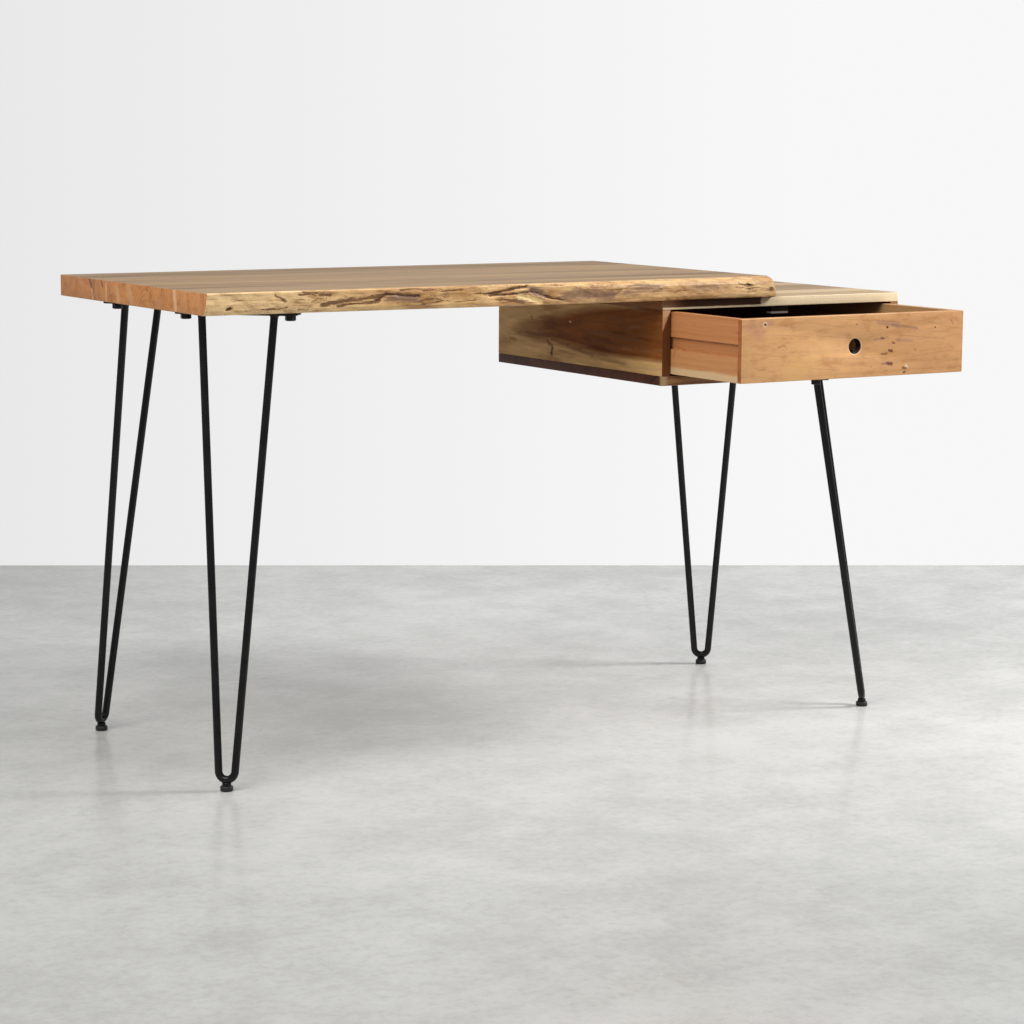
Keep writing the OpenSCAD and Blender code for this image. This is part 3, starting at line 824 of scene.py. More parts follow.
def live_edge_paint(g, color):
    """Pale sapwood on the natural edge, with its dark cracks, purple patches and yellow hollow."""
    place = g.place()
    facing = g.facing()
    end = facing[0].size().step(0.55, 0.9)
    rim = g.attribute("rim") * (1.0 - end)
    fine = g.noise(place, (300.0, 300.0, 700.0), 3.0, 0.65, 5.0)
    middling = g.noise(place, (45.0, 45.0, 160.0), 3.0, 0.6, 8.0)
    broad = g.noise(place, (9.0, 9.0, 30.0), 3.0, 0.6, 12.0)
    slant = place[0] * 0.45 + place[2]
    wavy = slant + (broad - 0.5) * 0.035 + (middling - 0.5) * 0.006
    lines = (wavy * 330.0).sine() * 0.5 + 0.5
    line_share = lines.step(0.55, 1.0) * broad.step(0.35, 0.7) * 0.55
    along = place[0] - LIVE_CORNER.x
    left_share = along.step(0.30, 0.10)
    pale = g.mix((0.74, 0.475, 0.215), (0.53, 0.30, 0.125), broad.step(0.38, 0.66))
    pale = g.mix(pale, (0.92, 0.65, 0.34), left_share * 0.75)
    pale = g.mix(pale, (0.88, 0.64, 0.34), middling.step(0.56, 0.72) * 0.5)
    amber = along.step(0.26, 0.36) * along.step(0.50, 0.42)
    pale = g.mix(pale, (0.40, 0.205, 0.074), amber * broad.step(0.25, 0.55) * 0.7)
    pale = g.mix(pale, (0.36, 0.175, 0.062), line_share)
    streaky = g.noise(place, (26.0, 300.0, 420.0), 4.0, 0.65, 15.0)
    pale = g.mottle(pale, streaky, (0.50, 0.38, 0.27), (0.52, 0.68),
                    (1.22, 1.22, 1.18), (0.46, 0.30), 0.8)
    bent = [place[0], place[1] + (middling - 0.5) * 0.02,
            place[2] + (broad - 0.5) * 0.03 + (middling - 0.5) * 0.012]
    vein = g.noise(bent, (15.0, 60.0, 130.0), 3.0, 0.6, 19.0)
    veined = g.noise(place, (11.0, 30.0, 60.0), 2.0, 0.5, 27.0)
    vein = (vein - 0.5).size().step(0.030, 0.004) * veined.step(0.47, 0.60)
    pale = g.mix(pale, (0.17, 0.075, 0.028), vein * 0.75)
    check = g.noise(bent, (38.0, 160.0, 330.0), 3.0, 0.6, 33.0)
    check = (check - 0.5).size().step(0.020, 0.006) * middling.step(0.50, 0.60)
    pale = g.mix(pale, (0.23, 0.095, 0.035), check * 0.6)
    pale = g.tint(pale, (0.74, 0.62, 0.50), fine.step(0.55, 0.78) * 0.7)
    color = g.mix(color, pale, rim)
    stain = g.attribute("stain") + (middling - 0.5) * 0.9 + (fine - 0.5) * 0.6 + (streaky - 0.5) * 1.7
    soft = stain.step(0.20, 0.52) * rim
    hard = stain.step(0.46, 0.64) * rim
    color = g.mix(color, (0.34, 0.165, 0.055), soft * 0.62)
    color = g.mix(color, (0.125, 0.052, 0.018), hard * 0.82)
    purple = g.attribute("purple") + (middling - 0.5) * 0.7 + (fine - 0.5) * 0.35 + (streaky - 0.5) * 1.0
    color = g.mix(color, (0.36, 0.215, 0.12), purple.step(0.14, 0.50) * rim * 0.5)
    color = g.mix(color, (0.16, 0.088, 0.058), purple.step(0.42, 0.76) * rim * 0.62)
    hollow = g.attribute("hollow") + (middling - 0.5) * 0.5
    color = g.mix(color, (0.84, 0.62, 0.28), hollow.step(0.3, 0.75) * rim * 0.7)
    color = g.mix(color, (0.06, 0.026, 0.014), g.attribute("shade").step(0.5, 0.95) * rim * 0.6)
    return color


# ---------- Marks on flat faces ----------

def stroke_share(u, v, a, b, width, soft, rough):
    """1 on a stroke from a to b, 0 past its half width. u and v are millimetres on the face."""
    length = math.hypot(b[0] - a[0], b[1] - a[1])
    along = ((b[0] - a[0]) / length, (b[1] - a[1]) / length)
    du, dv = u - a[0], v - a[1]
    run = du * along[0] + dv * along[1]
    side = dv * along[0] - du * along[1]
    over = (run - length).at_least(run * -1.0).at_least(0.0)
    far = (over * over + side * side).root() + rough
    return far.step(width + soft, max(width - soft, 0.0))


def face_marks(g, color, u, v, marks, rough):
    """Colours strokes on a face. A mark is (colour, share, half width, softness, start, end)."""
    for tone, share, width, soft, a, b in marks:
        color = g.mix(color, tone, stroke_share(u, v, a, b, width, soft, rough) * share)
    return color


# On the drawer front, in millimetres from its lower left corner
FRONT_MARKS = [
    ((0.70, 0.43, 0.16), 0.38, 15.0, 15.0, (104, 10), (138, 30)),
    ((0.44, 0.215, 0.155), 0.45, 4.0, 4.0, (38, 91), (58, 94)),
    ((0.50, 0.24, 0.15), 0.5, 10.0, 9.0, (16, 90), (34, 78)),
    ((0.84, 0.56, 0.40), 0.8, 4.0, 1.6, (45, 92.4), (46, 92.4)),
    ((0.06, 0.02, 0.012), 0.95, 2.0, 0.8, (45, 92.4), (46, 92.0)),
    ((0.30, 0.15, 0.08), 0.5, 1.4, 1.0, (72, 55), (84, 58)),
    ((0.30, 0.15, 0.08), 0.35, 1.0, 0.8, (84, 58), (90, 52)),
    ((0.17, 0.07, 0.04), 0.85, 1.1, 0.6, (231, 86.6), (231.6, 86.6)),
    ((0.17, 0.07, 0.04), 0.75, 1.0, 0.6, (246, 85.6), (246.6, 85.6)),
    ((0.33, 0.19, 0.15), 0.5, 2.6, 2.0, (276, 88), (318, 81)),
    ((0.29, 0.165, 0.13), 0.55, 2.2, 1.6, (306, 84), (358, 76)),
    ((0.29, 0.165, 0.13), 0.45, 1.2, 0.9, (284, 91), (322, 86)),
    ((0.045, 0.015, 0.01), 0.95, 1.8, 0.7, (295, 79.7), (296, 79.7)),
    ((0.05, 0.018, 0.01), 0.95, 1.2, 0.5, (397, 76), (397.8, 76)),
    ((0.34, 0.2, 0.16), 0.5, 2.0, 1.4, (269, 60), (296, 63)),
    ((0.36, 0.22, 0.17), 0.4, 2.4, 2.0, (316, 58), (348, 56)),
    ((0.20, 0.08, 0.05), 0.8, 1.7, 1.0, (283, 62.5), (288, 61.6)),
    ((0.13, 0.045, 0.025), 0.9, 2.1, 1.0, (300, 41.7), (306, 40.6)),
    ((0.16, 0.06, 0.035), 0.75, 1.5, 1.0, (284, 36), (296, 37)),
    ((0.17, 0.07, 0.04), 0.8, 1.6, 1.0, (307, 54), (311, 53)),
    ((0.30, 0.15, 0.09), 0.8, 1.0, 0.6, (355, 41), (357, 40.6)),
    ((0.13, 0.05, 0.04), 0.9, 2.8, 1.4, (297, 20.6), (306, 19.4)),
    ((0.28, 0.13, 0.10), 0.7, 1.7, 1.1, (286, 20), (296, 21)),
    ((0.20, 0.10, 0.07), 0.7, 1.0, 0.6, (262, 17.0), (263, 17.0)),
    ((0.22, 0.10, 0.06), 0.85, 2.2, 1.2, (330, 12), (336, 11)),
    ((0.86, 0.76, 0.60), 0.9, 1.9, 0.9, (336, 15.4), (340, 14.0)),
    ((0.18, 0.08, 0.05), 0.85, 1.9, 1.0, (332, 4.5), (335, 5.0)),
    ((0.45, 0.10, 0.07), 0.6, 1.0, 0.8, (430, 88), (436, 80)),
    ((0.40, 0.12, 0.08), 0.45, 0.9, 0.7, (440, 92), (446, 84)),
]
FRONT_HOLE = (229.0, 51.0)
FAINT_LINES = [
    (20, 47, 90, 39), (150, 71, 236, 63), (60, 76, 132, 70), (176, 33, 258, 30), (320, 66, 420, 57),
    (350, 30, 440, 38), (110, 22, 196, 13), (26, 24, 70, 15), (380, 86, 452, 72), (210, 95, 282, 91),
    (400, 18, 452, 22), (150, 90, 208, 82)]


def front_extra(g, color, spot):
    """The drawer front: its marks, its finger hole painted nearly black inside as shade with a pale rim,
    and painted shade that darkens its right side.
    """
    u, v = spot[0] * 1000.0, spot[2] * 1000.0
    rough = g.ripple(spot, (260.0, 260.0, 420.0), 2.0, 3.2)
    marks = [((0.36, 0.18, 0.085), 0.35, 0.7, 0.7, (a, b), (c, d)) for a, b, c, d in FAINT_LINES]
    color = face_marks(g, color, u, v, marks + FRONT_MARKS, rough)
    mottle = g.noise(spot, (26.0, 26.0, 60.0), 4.0, 0.65, 37.0)
    color = g.mottle(color, mottle, (0.84, 0.76, 0.70), (0.50, 0.66),
                     (1.08, 1.07, 1.04), (0.48, 0.34), 0.8)
    # Painted shade: the right side of the front is darkened.
    color = g.tint(color, (0.82, 0.78, 0.76), spot[0].step(0.16, 0.40))
    from_hole = ((u - FRONT_HOLE[0]) ** 2 + (v - FRONT_HOLE[1]) ** 2).root()
    # Painted shade: the inside of the finger hole is made nearly black.
    painted_hole_shade = from_hole.step(13.1, 12.7) * spot[1].step(0.0012, 0.0022)
    rim = from_hole.step(15.2, 13.0) * spot[1].step(0.0016, 0.0006)
    color = g.mix(color, (0.80, 0.58, 0.36), rim * 0.8)
    return g.mix(color, (0.022, 0.008, 0.004), painted_hole_shade)


def side_extra(g, color, spot):
    """The cabinet's left side: dark marks round the heartwood's tip, and a dark front edge with an orange
    upper corner."""
    u, v = spot[0] * 1000.0, spot[2] * 1000.0
    rough = g.ripple(spot, (55.0, 150.0, 150.0), 2.0, 9.0)
    knot = (0.075, 0.030, 0.010)
    split = (0.085, 0.034, 0.012)
    line = (0.065, 0.026, 0.008)
    figure = (0.070, 0.028, 0.009)
    marks = [(knot, 0.85, 3.4, 2.4, (329, 23), (331, 13)),
             (knot, 0.6, 3.0, 3.0, (345, 33), (329, 25)),
             (split, 0.5, 1.8, 1.8, (468, 32), (446, 28)),
             (split, 0.6, 2.4, 1.8, (397, 72), (395, 68)),
             (line, 0.42, 2.6, 2.6, (330, 38), (280, 30)),
             (line, 0.40, 3.0, 3.0, (280, 30), (205, 18)),
             (line, 0.36, 3.4, 3.4, (205, 18), (110, 12)),
             (line, 0.25, 3.4, 3.4, (372, 50), (330, 60)),
             (line, 0.22, 3.4, 3.4, (330, 60), (240, 74)),
             (figure, 0.25, 4.0, 4.0, (230, 48), (120, 40)),
             (figure, 0.22, 4.0, 4.0, (190, 62), (60, 58)),
             ((0.55, 0.38, 0.22), 0.9, 1.8, 0.8, (274, 71), (273, 71))]
    band = g.noise(spot, (7.0, 20.0, 42.0), 4.0, 0.62, 58.0)
    color = g.mottle(color, band, (0.60, 0.50, 0.42), (0.50, 0.64),
                     (1.30, 1.30, 1.24), (0.48, 0.34), 0.8)
    color = face_marks(g, color, u, v, marks, rough)
    front = g.on_face("-y")
    across = spot[1] / BOARD_T + (spot[2] * -1.0 + 0.108) / 0.034 + rough * 0.03
    color = g.mix(color, (0.120, 0.042, 0.014), front)
    return g.mix(color, (0.52, 0.29, 0.155), front * across.step(1.12, 0.92))


def bottom_extra(g, color, spot):
    """The cabinet's bottom board: a dark end with a glue joint and a chip, and a pale corner in front."""
    end = g.on_face("-x")
    front = g.on_face("-y")
    place = [value - start for value, start in zip(g.place(), cab_low)]
    u, v = place[1] * 1000.0, place[2] * 1000.0
    rough = g.ripple(place, (120.0, 120.0, 200.0), 3.0, 3.0)
    dark = g.tint(color, (0.50, 0.42, 0.42), end)
    marks = [((0.030, 0.012, 0.008), 0.8, 0.8, 0.6, (75, 0), (75, 16)),
             ((0.33, 0.215, 0.115), 0.9, 5.0, 4.0, (0, 16), (0, 0)),
             ((0.012, 0.005, 0.003), 0.95, 2.0, 1.0, (33, 5), (12, 16))]
    color = g.mix(dark, face_marks(g, dark, u, v, marks, rough), end)
    along = place[0] * 1000.0
    arc = ((along - 62.0) ** 2 * 0.06 + (v + 22.0) ** 2).root() + rough
    ring = (arc * 0.55).sine() * 0.5 + 0.5
    color = g.tint(color, (0.55, 0.42, 0.34), ring.step(0.5, 0.95) * front * 0.8)
    return g.mix(color, (0.42, 0.28, 0.15), (along + rough).step(15.0, 5.0) * front * 0.8)


def cabinet_top_extra(g, color, spot):
    """The cabinet's top, greyer above than in front. Under the table top its front edge is painted dark
    as the table top's shadow, but for a thin line at the bottom."""
    place = [value - start for value, start in zip(g.place(), CAB_TOP_CORNER)]
    color = g.tint(color, (0.50, 0.47, 0.46), g.on_face("+z", 0.5))
    fleck = g.noise(g.place(), (420.0, 420.0, 900.0), 2.0, 0.6, 6.0).step(0.54, 0.66)
    front = g.on_face("-y", 0.5)
    color = g.mix(color, (0.90, 0.74, 0.50), front * 0.75)
    color = g.mix(color, (0.66, 0.44, 0.20), front * fleck * 0.55)
    ripple = g.ripple(place, (60.0, 60.0, 200.0), 9.0, 0.004)
    # Painted shadow of the table top on the front edge, over about 200 mm from the left end, above a thin
    # line at the bottom.
    under = (place[0] + ripple).step(0.203, 0.197) * (place[2] + ripple * 0.5).step(0.0028, 0.0046)
    painted_slab_shadow = g.mix((0.22, 0.115, 0.06), (0.075, 0.026, 0.011), place[0].step(0.004, 0.05))
    color = g.mix(color, painted_slab_shadow, front * under)
    side = g.mix((0.21, 0.078, 0.02), (0.46, 0.27, 0.11), (place[1] + ripple * 8.0).step(0.28, 0.42))
    return g.mix(color, side, g.on_face("-x", 0.5))


def stop_extra(g, color, spot):
    """The stop block is painted dark as shade under the cabinet's top, but for its lowest edge, painted
    pale as light.
    """
    painted_lit_edge = (g.place()[2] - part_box("drawer_stop")[0][2]).step(0.0042, 0.0030)
    # Painted shade over the block, and a painted lit strip along its lowest edge.
    return g.mix(g.tint(color, (0.035, 0.022, 0.015)), (0.95, 0.88, 0.80), painted_lit_edge)


def drawer_side_extra(g, color, spot):
    """A pale sapwood strip along the bottom of the drawer's side, and a small knot mark near its back."""
    u, v = spot[0] * 1000.0, spot[2] * 1000.0
    rough = g.ripple(spot, (60.0, 200.0, 200.0), 4.0, 3.0)
    marks = [((0.36, 0.13, 0.05), 0.7, 1.0, 0.9, (176, 47), (146, 41)),
             ((0.36, 0.13, 0.05), 0.7, 1.3, 1.0, (166, 44), (174, 31)),
             ((0.46, 0.19, 0.08), 0.5, 0.7, 0.7, (150, 52), (80, 49))]
    color = face_marks(g, color, u, v, marks, rough)
    color = g.tint(color, (1.06, 1.18, 1.26), v.step(43.0, 38.0))
    ripple = (g.noise(spot, (14.0, 14.0, 60.0), 2.0, 0.5, 3.0) - 0.5) * 0.012
    strip = (spot[2] + ripple).step(0.0145, 0.0085)
    return g.mix(color, (0.60, 0.42, 0.235), strip * 0.9)


# On the left ends of the table top's boards, in millimetres from each board's lower front corner
BACK_END_MARKS = [
    ((0.42, 0.19, 0.085), 0.5, 2.4, 2.0, (190, 31), (100, 29)),
    ((0.14, 0.055, 0.022), 0.85, 3.2, 2.0, (75, 34), (66, 22)),
    ((0.30, 0.125, 0.055), 0.55, 4.0, 3.0, (60, 30), (54, 4)),
    ((0.74, 0.50, 0.29), 0.5, 2.2, 2.0, (66, 16), (61, 0)),
    ((0.16, 0.065, 0.026), 0.8, 2.8, 2.0, (29, 34), (24, 25)),
    ((0.34, 0.15, 0.065), 0.5, 5.0, 4.0, (41, 30), (37, 2)),
    ((0.74, 0.50, 0.29), 0.5, 2.6, 2.0, (9, 28), (10, 2)),
    ((0.36, 0.17, 0.08), 0.5, 0.8, 0.8, (1, 34), (1, 0))]
MIDDLE_END_MARKS = [
    ((0.36, 0.17, 0.08), 0.5, 3.0, 3.0, (229, 34), (232, 0)),
    ((0.70, 0.45, 0.24), 0.35, 7.0, 6.0, (205, 20), (198, 4)),
    ((0.68, 0.42, 0.22), 0.3, 9.0, 8.0, (160, 26), (150, 8)),
    ((0.40, 0.19, 0.085), 0.4, 5.0, 4.0, (70, 4), (26, 20)),
    ((0.36, 0.17, 0.08), 0.4, 1.2, 1.2, (2, 34), (2, 0))]
LIVE_END_MARKS = [
    ((0.76, 0.52, 0.31), 0.55, 4.6, 4.0, (113, 32), (107, 3)),
    ((0.40, 0.165, 0.07), 0.55, 5.0, 5.0, (20, 34), (15, 0)),
    ((0.44, 0.20, 0.09), 0.35, 5.0, 5.0, (92, 34), (84, 4))]
# Painted sheen: the table top's flat faces are greyed as if they reflected the pale wall.
PAINTED_SHEEN_TONE = (0.605, 0.72, 0.79)


def slab_extra(end_marks):
    """The table top: a painted sheen that greys its flat faces, broad streaks along its upper face, and
    the marks on the ends of one board.
    """
    def paint(g, color, spot):
        flat = g.facing()[2].size().step(0.5, 0.9)
        end = g.facing()[0].size().step(0.6, 0.95)
        place = g.place()
        wide = g.noise(place, (0.8, 22.0, 2.0), 4.0, 0.62, 71.0)
        thin = g.noise(place, (1.4, 58.0, 2.0), 3.0, 0.6, 77.0)
        # Painted sheen that greys the flat faces.
        color = g.tint(color, PAINTED_SHEEN_TONE, flat)
        color = g.mottle(color, wide, (0.56, 0.50, 0.45), (0.50, 0.64),
                         (1.34, 1.30, 1.22), (0.48, 0.34), flat * 0.9)
        color = g.tint(color, (0.52, 0.45, 0.38), thin.step(0.55, 0.68) * flat * 0.8)
        u, v = spot[1] * 1000.0, spot[2] * 1000.0
        rough = g.ripple(place, (60.0, 130.0, 130.0), 81.0, 5.0)
        return g.mix(color, face_marks(g, color, u, v, end_marks, rough), end)
    return paint


paint_live_board = slab_extra(LIVE_END_MARKS)


def live_board_extra(g, color, spot):
    """The live edge board: painted like the other boards of the table top, then its natural edge."""
    return live_edge_paint(g, paint_live_board(g, color, spot))


# ---------- Steel, plastic and floor ----------

def powder_coat(name):
    """Black coated steel with a fine texture and a little dust."""
    g = Graph(name)
    place = g.place()
    peel = g.noise(place, (900.0, 900.0, 900.0), 2.0, 0.5)
    cloud = g.noise(place, (30.0, 30.0, 30.0), 3.0, 0.6, 4.0)
    dust = g.noise(place, (260.0, 260.0, 60.0), 3.0, 0.65, 9.0)
    color = g.mix((0.0042, 0.0042, 0.0043), (0.0075, 0.0075, 0.0077), cloud.step(0.35, 0.7))
    color = g.mix(color, (0.024, 0.023, 0.022), dust.step(0.62, 0.85) * 0.3)
    rough = cloud * 0.10 + dust * 0.10 + 0.13
    return g.finish(color, rough, g.bump(peel, 0.05 * MM, 0.5), Specular_IOR_Level=0.24)


def nylon(name):
    """Black plastic, scuffed paler here and there."""
    g = Graph(name)
    place = g.place()
    grain = g.noise(place, (1400.0, 1400.0, 1400.0), 2.0, 0.5)
    scuff = g.noise(place, (120.0, 120.0, 700.0), 3.0, 0.7, 2.0)
    color = g.mix((0.011, 0.011, 0.011), (0.05, 0.05, 0.048), scuff.step(0.58, 0.8) * 0.6)
    return g.finish(color, scuff * 0.2 + 0.40, g.bump(grain, 0.05 * MM, 0.5), Specular_IOR_Level=0.45)


def zinc(name):
    """Bright zinc plating, for the hidden screws and pins."""
    g = Graph(name)
    place = g.place()
    flake = g.noise(place, (420.0, 420.0, 420.0), 3.0, 0.6)
    color = g.mix((0.42, 0.42, 0.43), (0.66, 0.65, 0.62), flake.step(0.35, 0.7))
    return g.finish(color, flake * 0.25 + 0.30, g.bump(flake, 0.05 * MM, 0.4), Metallic=1.0)


def concrete(name):
    """Pale polished concrete, with painted shade that makes it a little darker towards the front and the
    left.
    """
    g = Graph(name)
    place = g.place()
    cloud = g.noise(place, (1.3, 1.3, 1.0), 6.0, 0.62, 3.0)
    patch = g.noise(place, (7.0, 7.0, 1.0), 6.0, 0.70, 8.0)
    speck = g.noise(place, (60.0, 60.0, 1.0), 4.0, 0.75, 5.0)
    mottle = cloud * 0.34 + patch * 0.36 + speck * 0.30
    color = g.mix((0.59, 0.587, 0.563), (0.785, 0.782, 0.757), mottle.step(0.37, 0.63))
    color = g.tint(color, (0.80, 0.80, 0.79), speck.step(0.56, 0.70) * 0.6)
    sine, cosine = math.sin(CAMERA_TURN), math.cos(CAMERA_TURN)
    depth = place[0] * sine + place[1] * cosine
    across = place[0] * cosine - place[1] * sine
    # Painted shade: the floor is darkened towards the front and the left, where less light falls.
    color = g.tint(color, (0.68, 0.68, 0.68), depth.step(0.3, -1.5))
    color = g.tint(color, (0.80, 0.80, 0.80), across.step(0.15, -1.15))
    rough = patch * 0.14 + speck * 0.08 + 0.10
    bump = g.bump(speck, 0.5 * MM, 0.2)
    return g.finish(color, rough, bump, Specular_IOR_Level=0.36)


# ---------- The materials ----------

TOP_HEART = ((0.52, 0.285, 0.135), (0.36, 0.175, 0.075))
AMBER_HEART = ((0.68, 0.37, 0.162), (0.54, 0.265, 0.104))
RED_HEART = ((0.54, 0.24, 0.095), (0.40, 0.155, 0.055))
STRIP_WOOD = ((0.62, 0.47, 0.30), (0.50, 0.35, 0.20))
PALE_SAP = ((0.80, 0.62, 0.38), (0.64, 0.44, 0.235))
OLIVE_SAP = ((0.44, 0.28, 0.125), (0.33, 0.19, 0.075))


def board_wood(node, grain, pith, **looks):
    """Wood for the board of one CAD node."""
    return wood("wood_" + node, grain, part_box(node)[0], pith, **looks)


wood_back = wood(
    "wood_top_back", "X", top_low, (0.062, -0.030), (0.004, 0.01), 7.5 * MM, TOP_HEART, seed=1.0,
    streaks=0.55, sheen=0.34, rings=0.8, end_shade=(0.98, 0.74, 0.52), extra=slab_extra(BACK_END_MARKS))
wood_middle = wood(
    "wood_top_middle", "X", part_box("top_middle_board")[0], (0.097, -0.012), (-0.01, -0.01), 7.5 * MM,
    TOP_HEART, seed=21.0, sheen=0.34, end_shade=(1.0, 0.77, 0.50), extra=slab_extra(MIDDLE_END_MARKS))
wood_live = wood(
    "wood_top_live_edge", "X", LIVE_CORNER, (0.19, -0.045), (0.0, 0.0), 7.0 * MM, TOP_HEART, seed=41.0,
    sheen=0.34, rings=0.8, end_shade=(1.04, 0.84, 0.60), extra=live_board_extra)
wood_cab_top = wood(
    "wood_cabinet_top", "X", CAB_TOP_CORNER, (0.03, -0.12), ring=4.0 * MM, heart_r=-1.0,
    heart_soft=0.5 * MM, sap=PALE_SAP, seed=61.0, stave=0.062, sheen=0.25, stained=("-z",),
    extra=cabinet_top_extra)
wood_cab_bottom = wood(
    "wood_cabinet_bottom", "X", tuple(cab_low), (0.03, -0.09), ring=3.6 * MM,
    heart=((0.36, 0.18, 0.075), (0.23, 0.10, 0.038)), seed=71.0, stave=0.0505,
    end_shade=(0.50, 0.33, 0.22), stained=("+z",), extra=bottom_extra)
wood_cab_left = board_wood(
    "cabinet_left_side", "Y", (-0.0355, 0.071), lean=(-0.0572, -0.05), ring=6.0 * MM,
    heart=((0.200, 0.064, 0.0125), (0.106, 0.031, 0.0055)),
    sap=((0.56, 0.345, 0.15), (0.42, 0.235, 0.09)),
    heart_r=0.058, heart_soft=5.0 * MM, seed=81.0, sheen=0.08, face_streaks=0.4, rings=0.6,
    stained=("+x",), extra=side_extra)
wood_cab_right = board_wood(
    "cabinet_right_side", "Y", (-0.04, 0.03), lean=(0.02, 0.03), ring=5.0 * MM, heart=RED_HEART,
    sap=OLIVE_SAP, heart_r=0.085, seed=91.0, stained=("-x",))
wood_cab_back = board_wood(
    "cabinet_back", "X", (-0.05, 0.05), lean=(0.01, 0.05), ring=4.5 * MM, heart=RED_HEART, sap=PALE_SAP,
    heart_r=0.078, seed=101.0, stained=("-y",))
wood_front = board_wood(
    "drawer_front", "X", (-0.11, 0.04), lean=(0.03, 0.06), ring=5.5 * MM, heart=AMBER_HEART, seed=111.0,
    rings=0.5, streaks=0.2, sheen=0.2, face_streaks=0.3, end_shade=(0.50, 0.34, 0.26), stained=("+y",),
    extra=front_extra)
wood_drawer_left = board_wood(
    "drawer_left_side", "Y", (-0.08, 0.02), lean=(0.0, 0.02), ring=4.0 * MM,
    heart=((0.48, 0.20, 0.075), (0.385, 0.145, 0.051)), seed=121.0, rings=0.35, sheen=0.15,
    stained=("+x",), extra=drawer_side_extra)
wood_drawer_right = board_wood(
    "drawer_right_side", "Y", (0.06, 0.02), lean=(0.0, 0.03), ring=3.0 * MM,
    heart=((0.50, 0.275, 0.125), (0.39, 0.19, 0.075)), seed=131.0)
wood_drawer_back = board_wood(
    "drawer_back", "X", (0.08, 0.02), lean=(0.01, 0.02), heart=RED_HEART, seed=141.0, stained=("-y",))
wood_panel = board_wood(
    "drawer_bottom", "X", (0.2, -0.18), ring=2.8 * MM, heart=((0.28, 0.18, 0.09), (0.20, 0.12, 0.055)),
    seed=151.0, stained=("+z",))
wood_plain = wood("wood_plain", "Y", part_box("left_runner")[0], (0.05, -0.03), ring=2.4 * MM,
                  heart=STRIP_WOOD, seed=161.0)
wood_stop = board_wood("drawer_stop", "X", (0.05, -0.03), ring=2.4 * MM, heart=STRIP_WOOD, seed=171.0,
                       extra=stop_extra)
steel = powder_coat("black_powder_coat")
bolt_black = powder_coat("black_bolt_finish")
foot_black = nylon("black_nylon")
zinc_plate = zinc("zinc_plate")


# ---------- Table top, cabinet and drawer ----------

make_camera()
make_world()
bpy.context.scene.view_settings.view_transform = "Standard"

plain_board("top_back_board", wood_back, 1.2 * MM, ("-y",))
plain_board("top_middle_board", wood_middle, 1.2 * MM, ("-y", "+y"))
live_edge_piece(wood_live)
PLAIN_BOARDS = [
    ("cabinet_top", wood_cab_top, "cabinet_wood", 1.4, ()),
    ("cabinet_bottom", wood_cab_bottom, "cabinet_wood", 1.2, ()),
    ("cabinet_left_side", wood_cab_left, "cabinet_wood", 0.6, ("+z", "-z")),
    ("cabinet_right_side", wood_cab_right, "cabinet_wood", 0.6, ("+z", "-z")),
    ("cabinet_back", wood_cab_back, "cabinet_wood", 0.5, ("+z", "-z")),
    ("drawer_stop", wood_stop, "plain_wood", 1.0, ()),
    ("left_runner", wood_plain, "plain_wood", 0.8, ()),
    ("right_runner", wood_plain, "plain_wood", 0.8, ()),
    ("drawer_back", wood_drawer_back, "drawer_wood", 1.0, ()),
    ("drawer_bottom", wood_panel, "drawer_panel", 0.4, ())]
for node, material, slot, radius, square in PLAIN_BOARDS:
    plain_board(node, material, radius * MM, square)

HOLE_R = 12.5
LIP = 10.0 * MM
SIDE_T = 14.0 * MM
GROOVE_DEEP = 5.5 * MM
GROOVE_PLAY = 0.5 * MM
panel_low, panel_high = (Vector(corner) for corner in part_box("drawer_bottom"))
runner_low, runner_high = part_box("left_runner")
hole = Vector(((front_low[0] + front_high[0]) / 2, front_low[1], (front_low[2] + front_high[2]) / 2))


def finger_hole_cutter():
    """A round cutter whose mouth is eased at the front."""
    r = HOLE_R
    profile = [(0, -4), (r + 4.0, -4), (r + 1.6, 0), (r + 0.7, 0.5), (r + 0.2, 1.2), (r, 2.2), (r, 14.2),
               (r + 0.6, 15.6), (r + 2, 17), (0, 17)]
    bm = lathe_bmesh(profile, 96)
    bm.transform(Matrix.Translation(hole) @ Matrix.Rotation(math.radians(-90), 4, "X"))
    return to_object(bm, "finger_hole_cutter")


def drawer_front_piece():
    """The drawer front: a lip before the drawer's sides, a thicker middle between them, and its hole."""
    lip_high = (front_high[0], front_low[1] + LIP, front_high[2])
    tongue_low = (front_low[0] + SIDE_T, front_low[1] + LIP / 2, front_low[2])
    tongue_high = (front_high[0] - SIDE_T, front_high[1], front_high[2])
    tongue = box_object("tongue", tongue_low, tongue_high)
    panel = box_object("panel", panel_low, panel_high)
    piece = cut_board("drawer_front", wood_front, front_low, lip_high, [panel], 1.1 * MM,
                      [tongue])
    combine(piece, [finger_hole_cutter()], "DIFFERENCE")
    shade_smooth(piece.data, 40.0)


def drawer_side_piece(node, material, groove_on_low_side):
    """A drawer side, grooved for its runner on the outside and for the drawer's bottom on the inside."""
    low, high = (Vector(corner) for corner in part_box(node))
    start, stop = low.x - LIP, low.x + GROOVE_DEEP
    if not groove_on_low_side:
        start, stop = high.x - GROOVE_DEEP, high.x + LIP
    past = Vector((0, LIP, 0))
    cuts = [box_object("groove", (start, low.y - LIP, runner_low[2] - GROOVE_PLAY),
                       (stop, high.y + LIP, runner_high[2] + GROOVE_PLAY)),
            box_object("panel", panel_low - past, panel_high + past)]
    cut_board(node, material, low, high, cuts, 0.8 * MM)


drawer_front_piece()
drawer_side_piece("drawer_left_side", wood_drawer_left, True)
drawer_side_piece("drawer_right_side", wood_drawer_right, False)


# ---------- Legs ----------

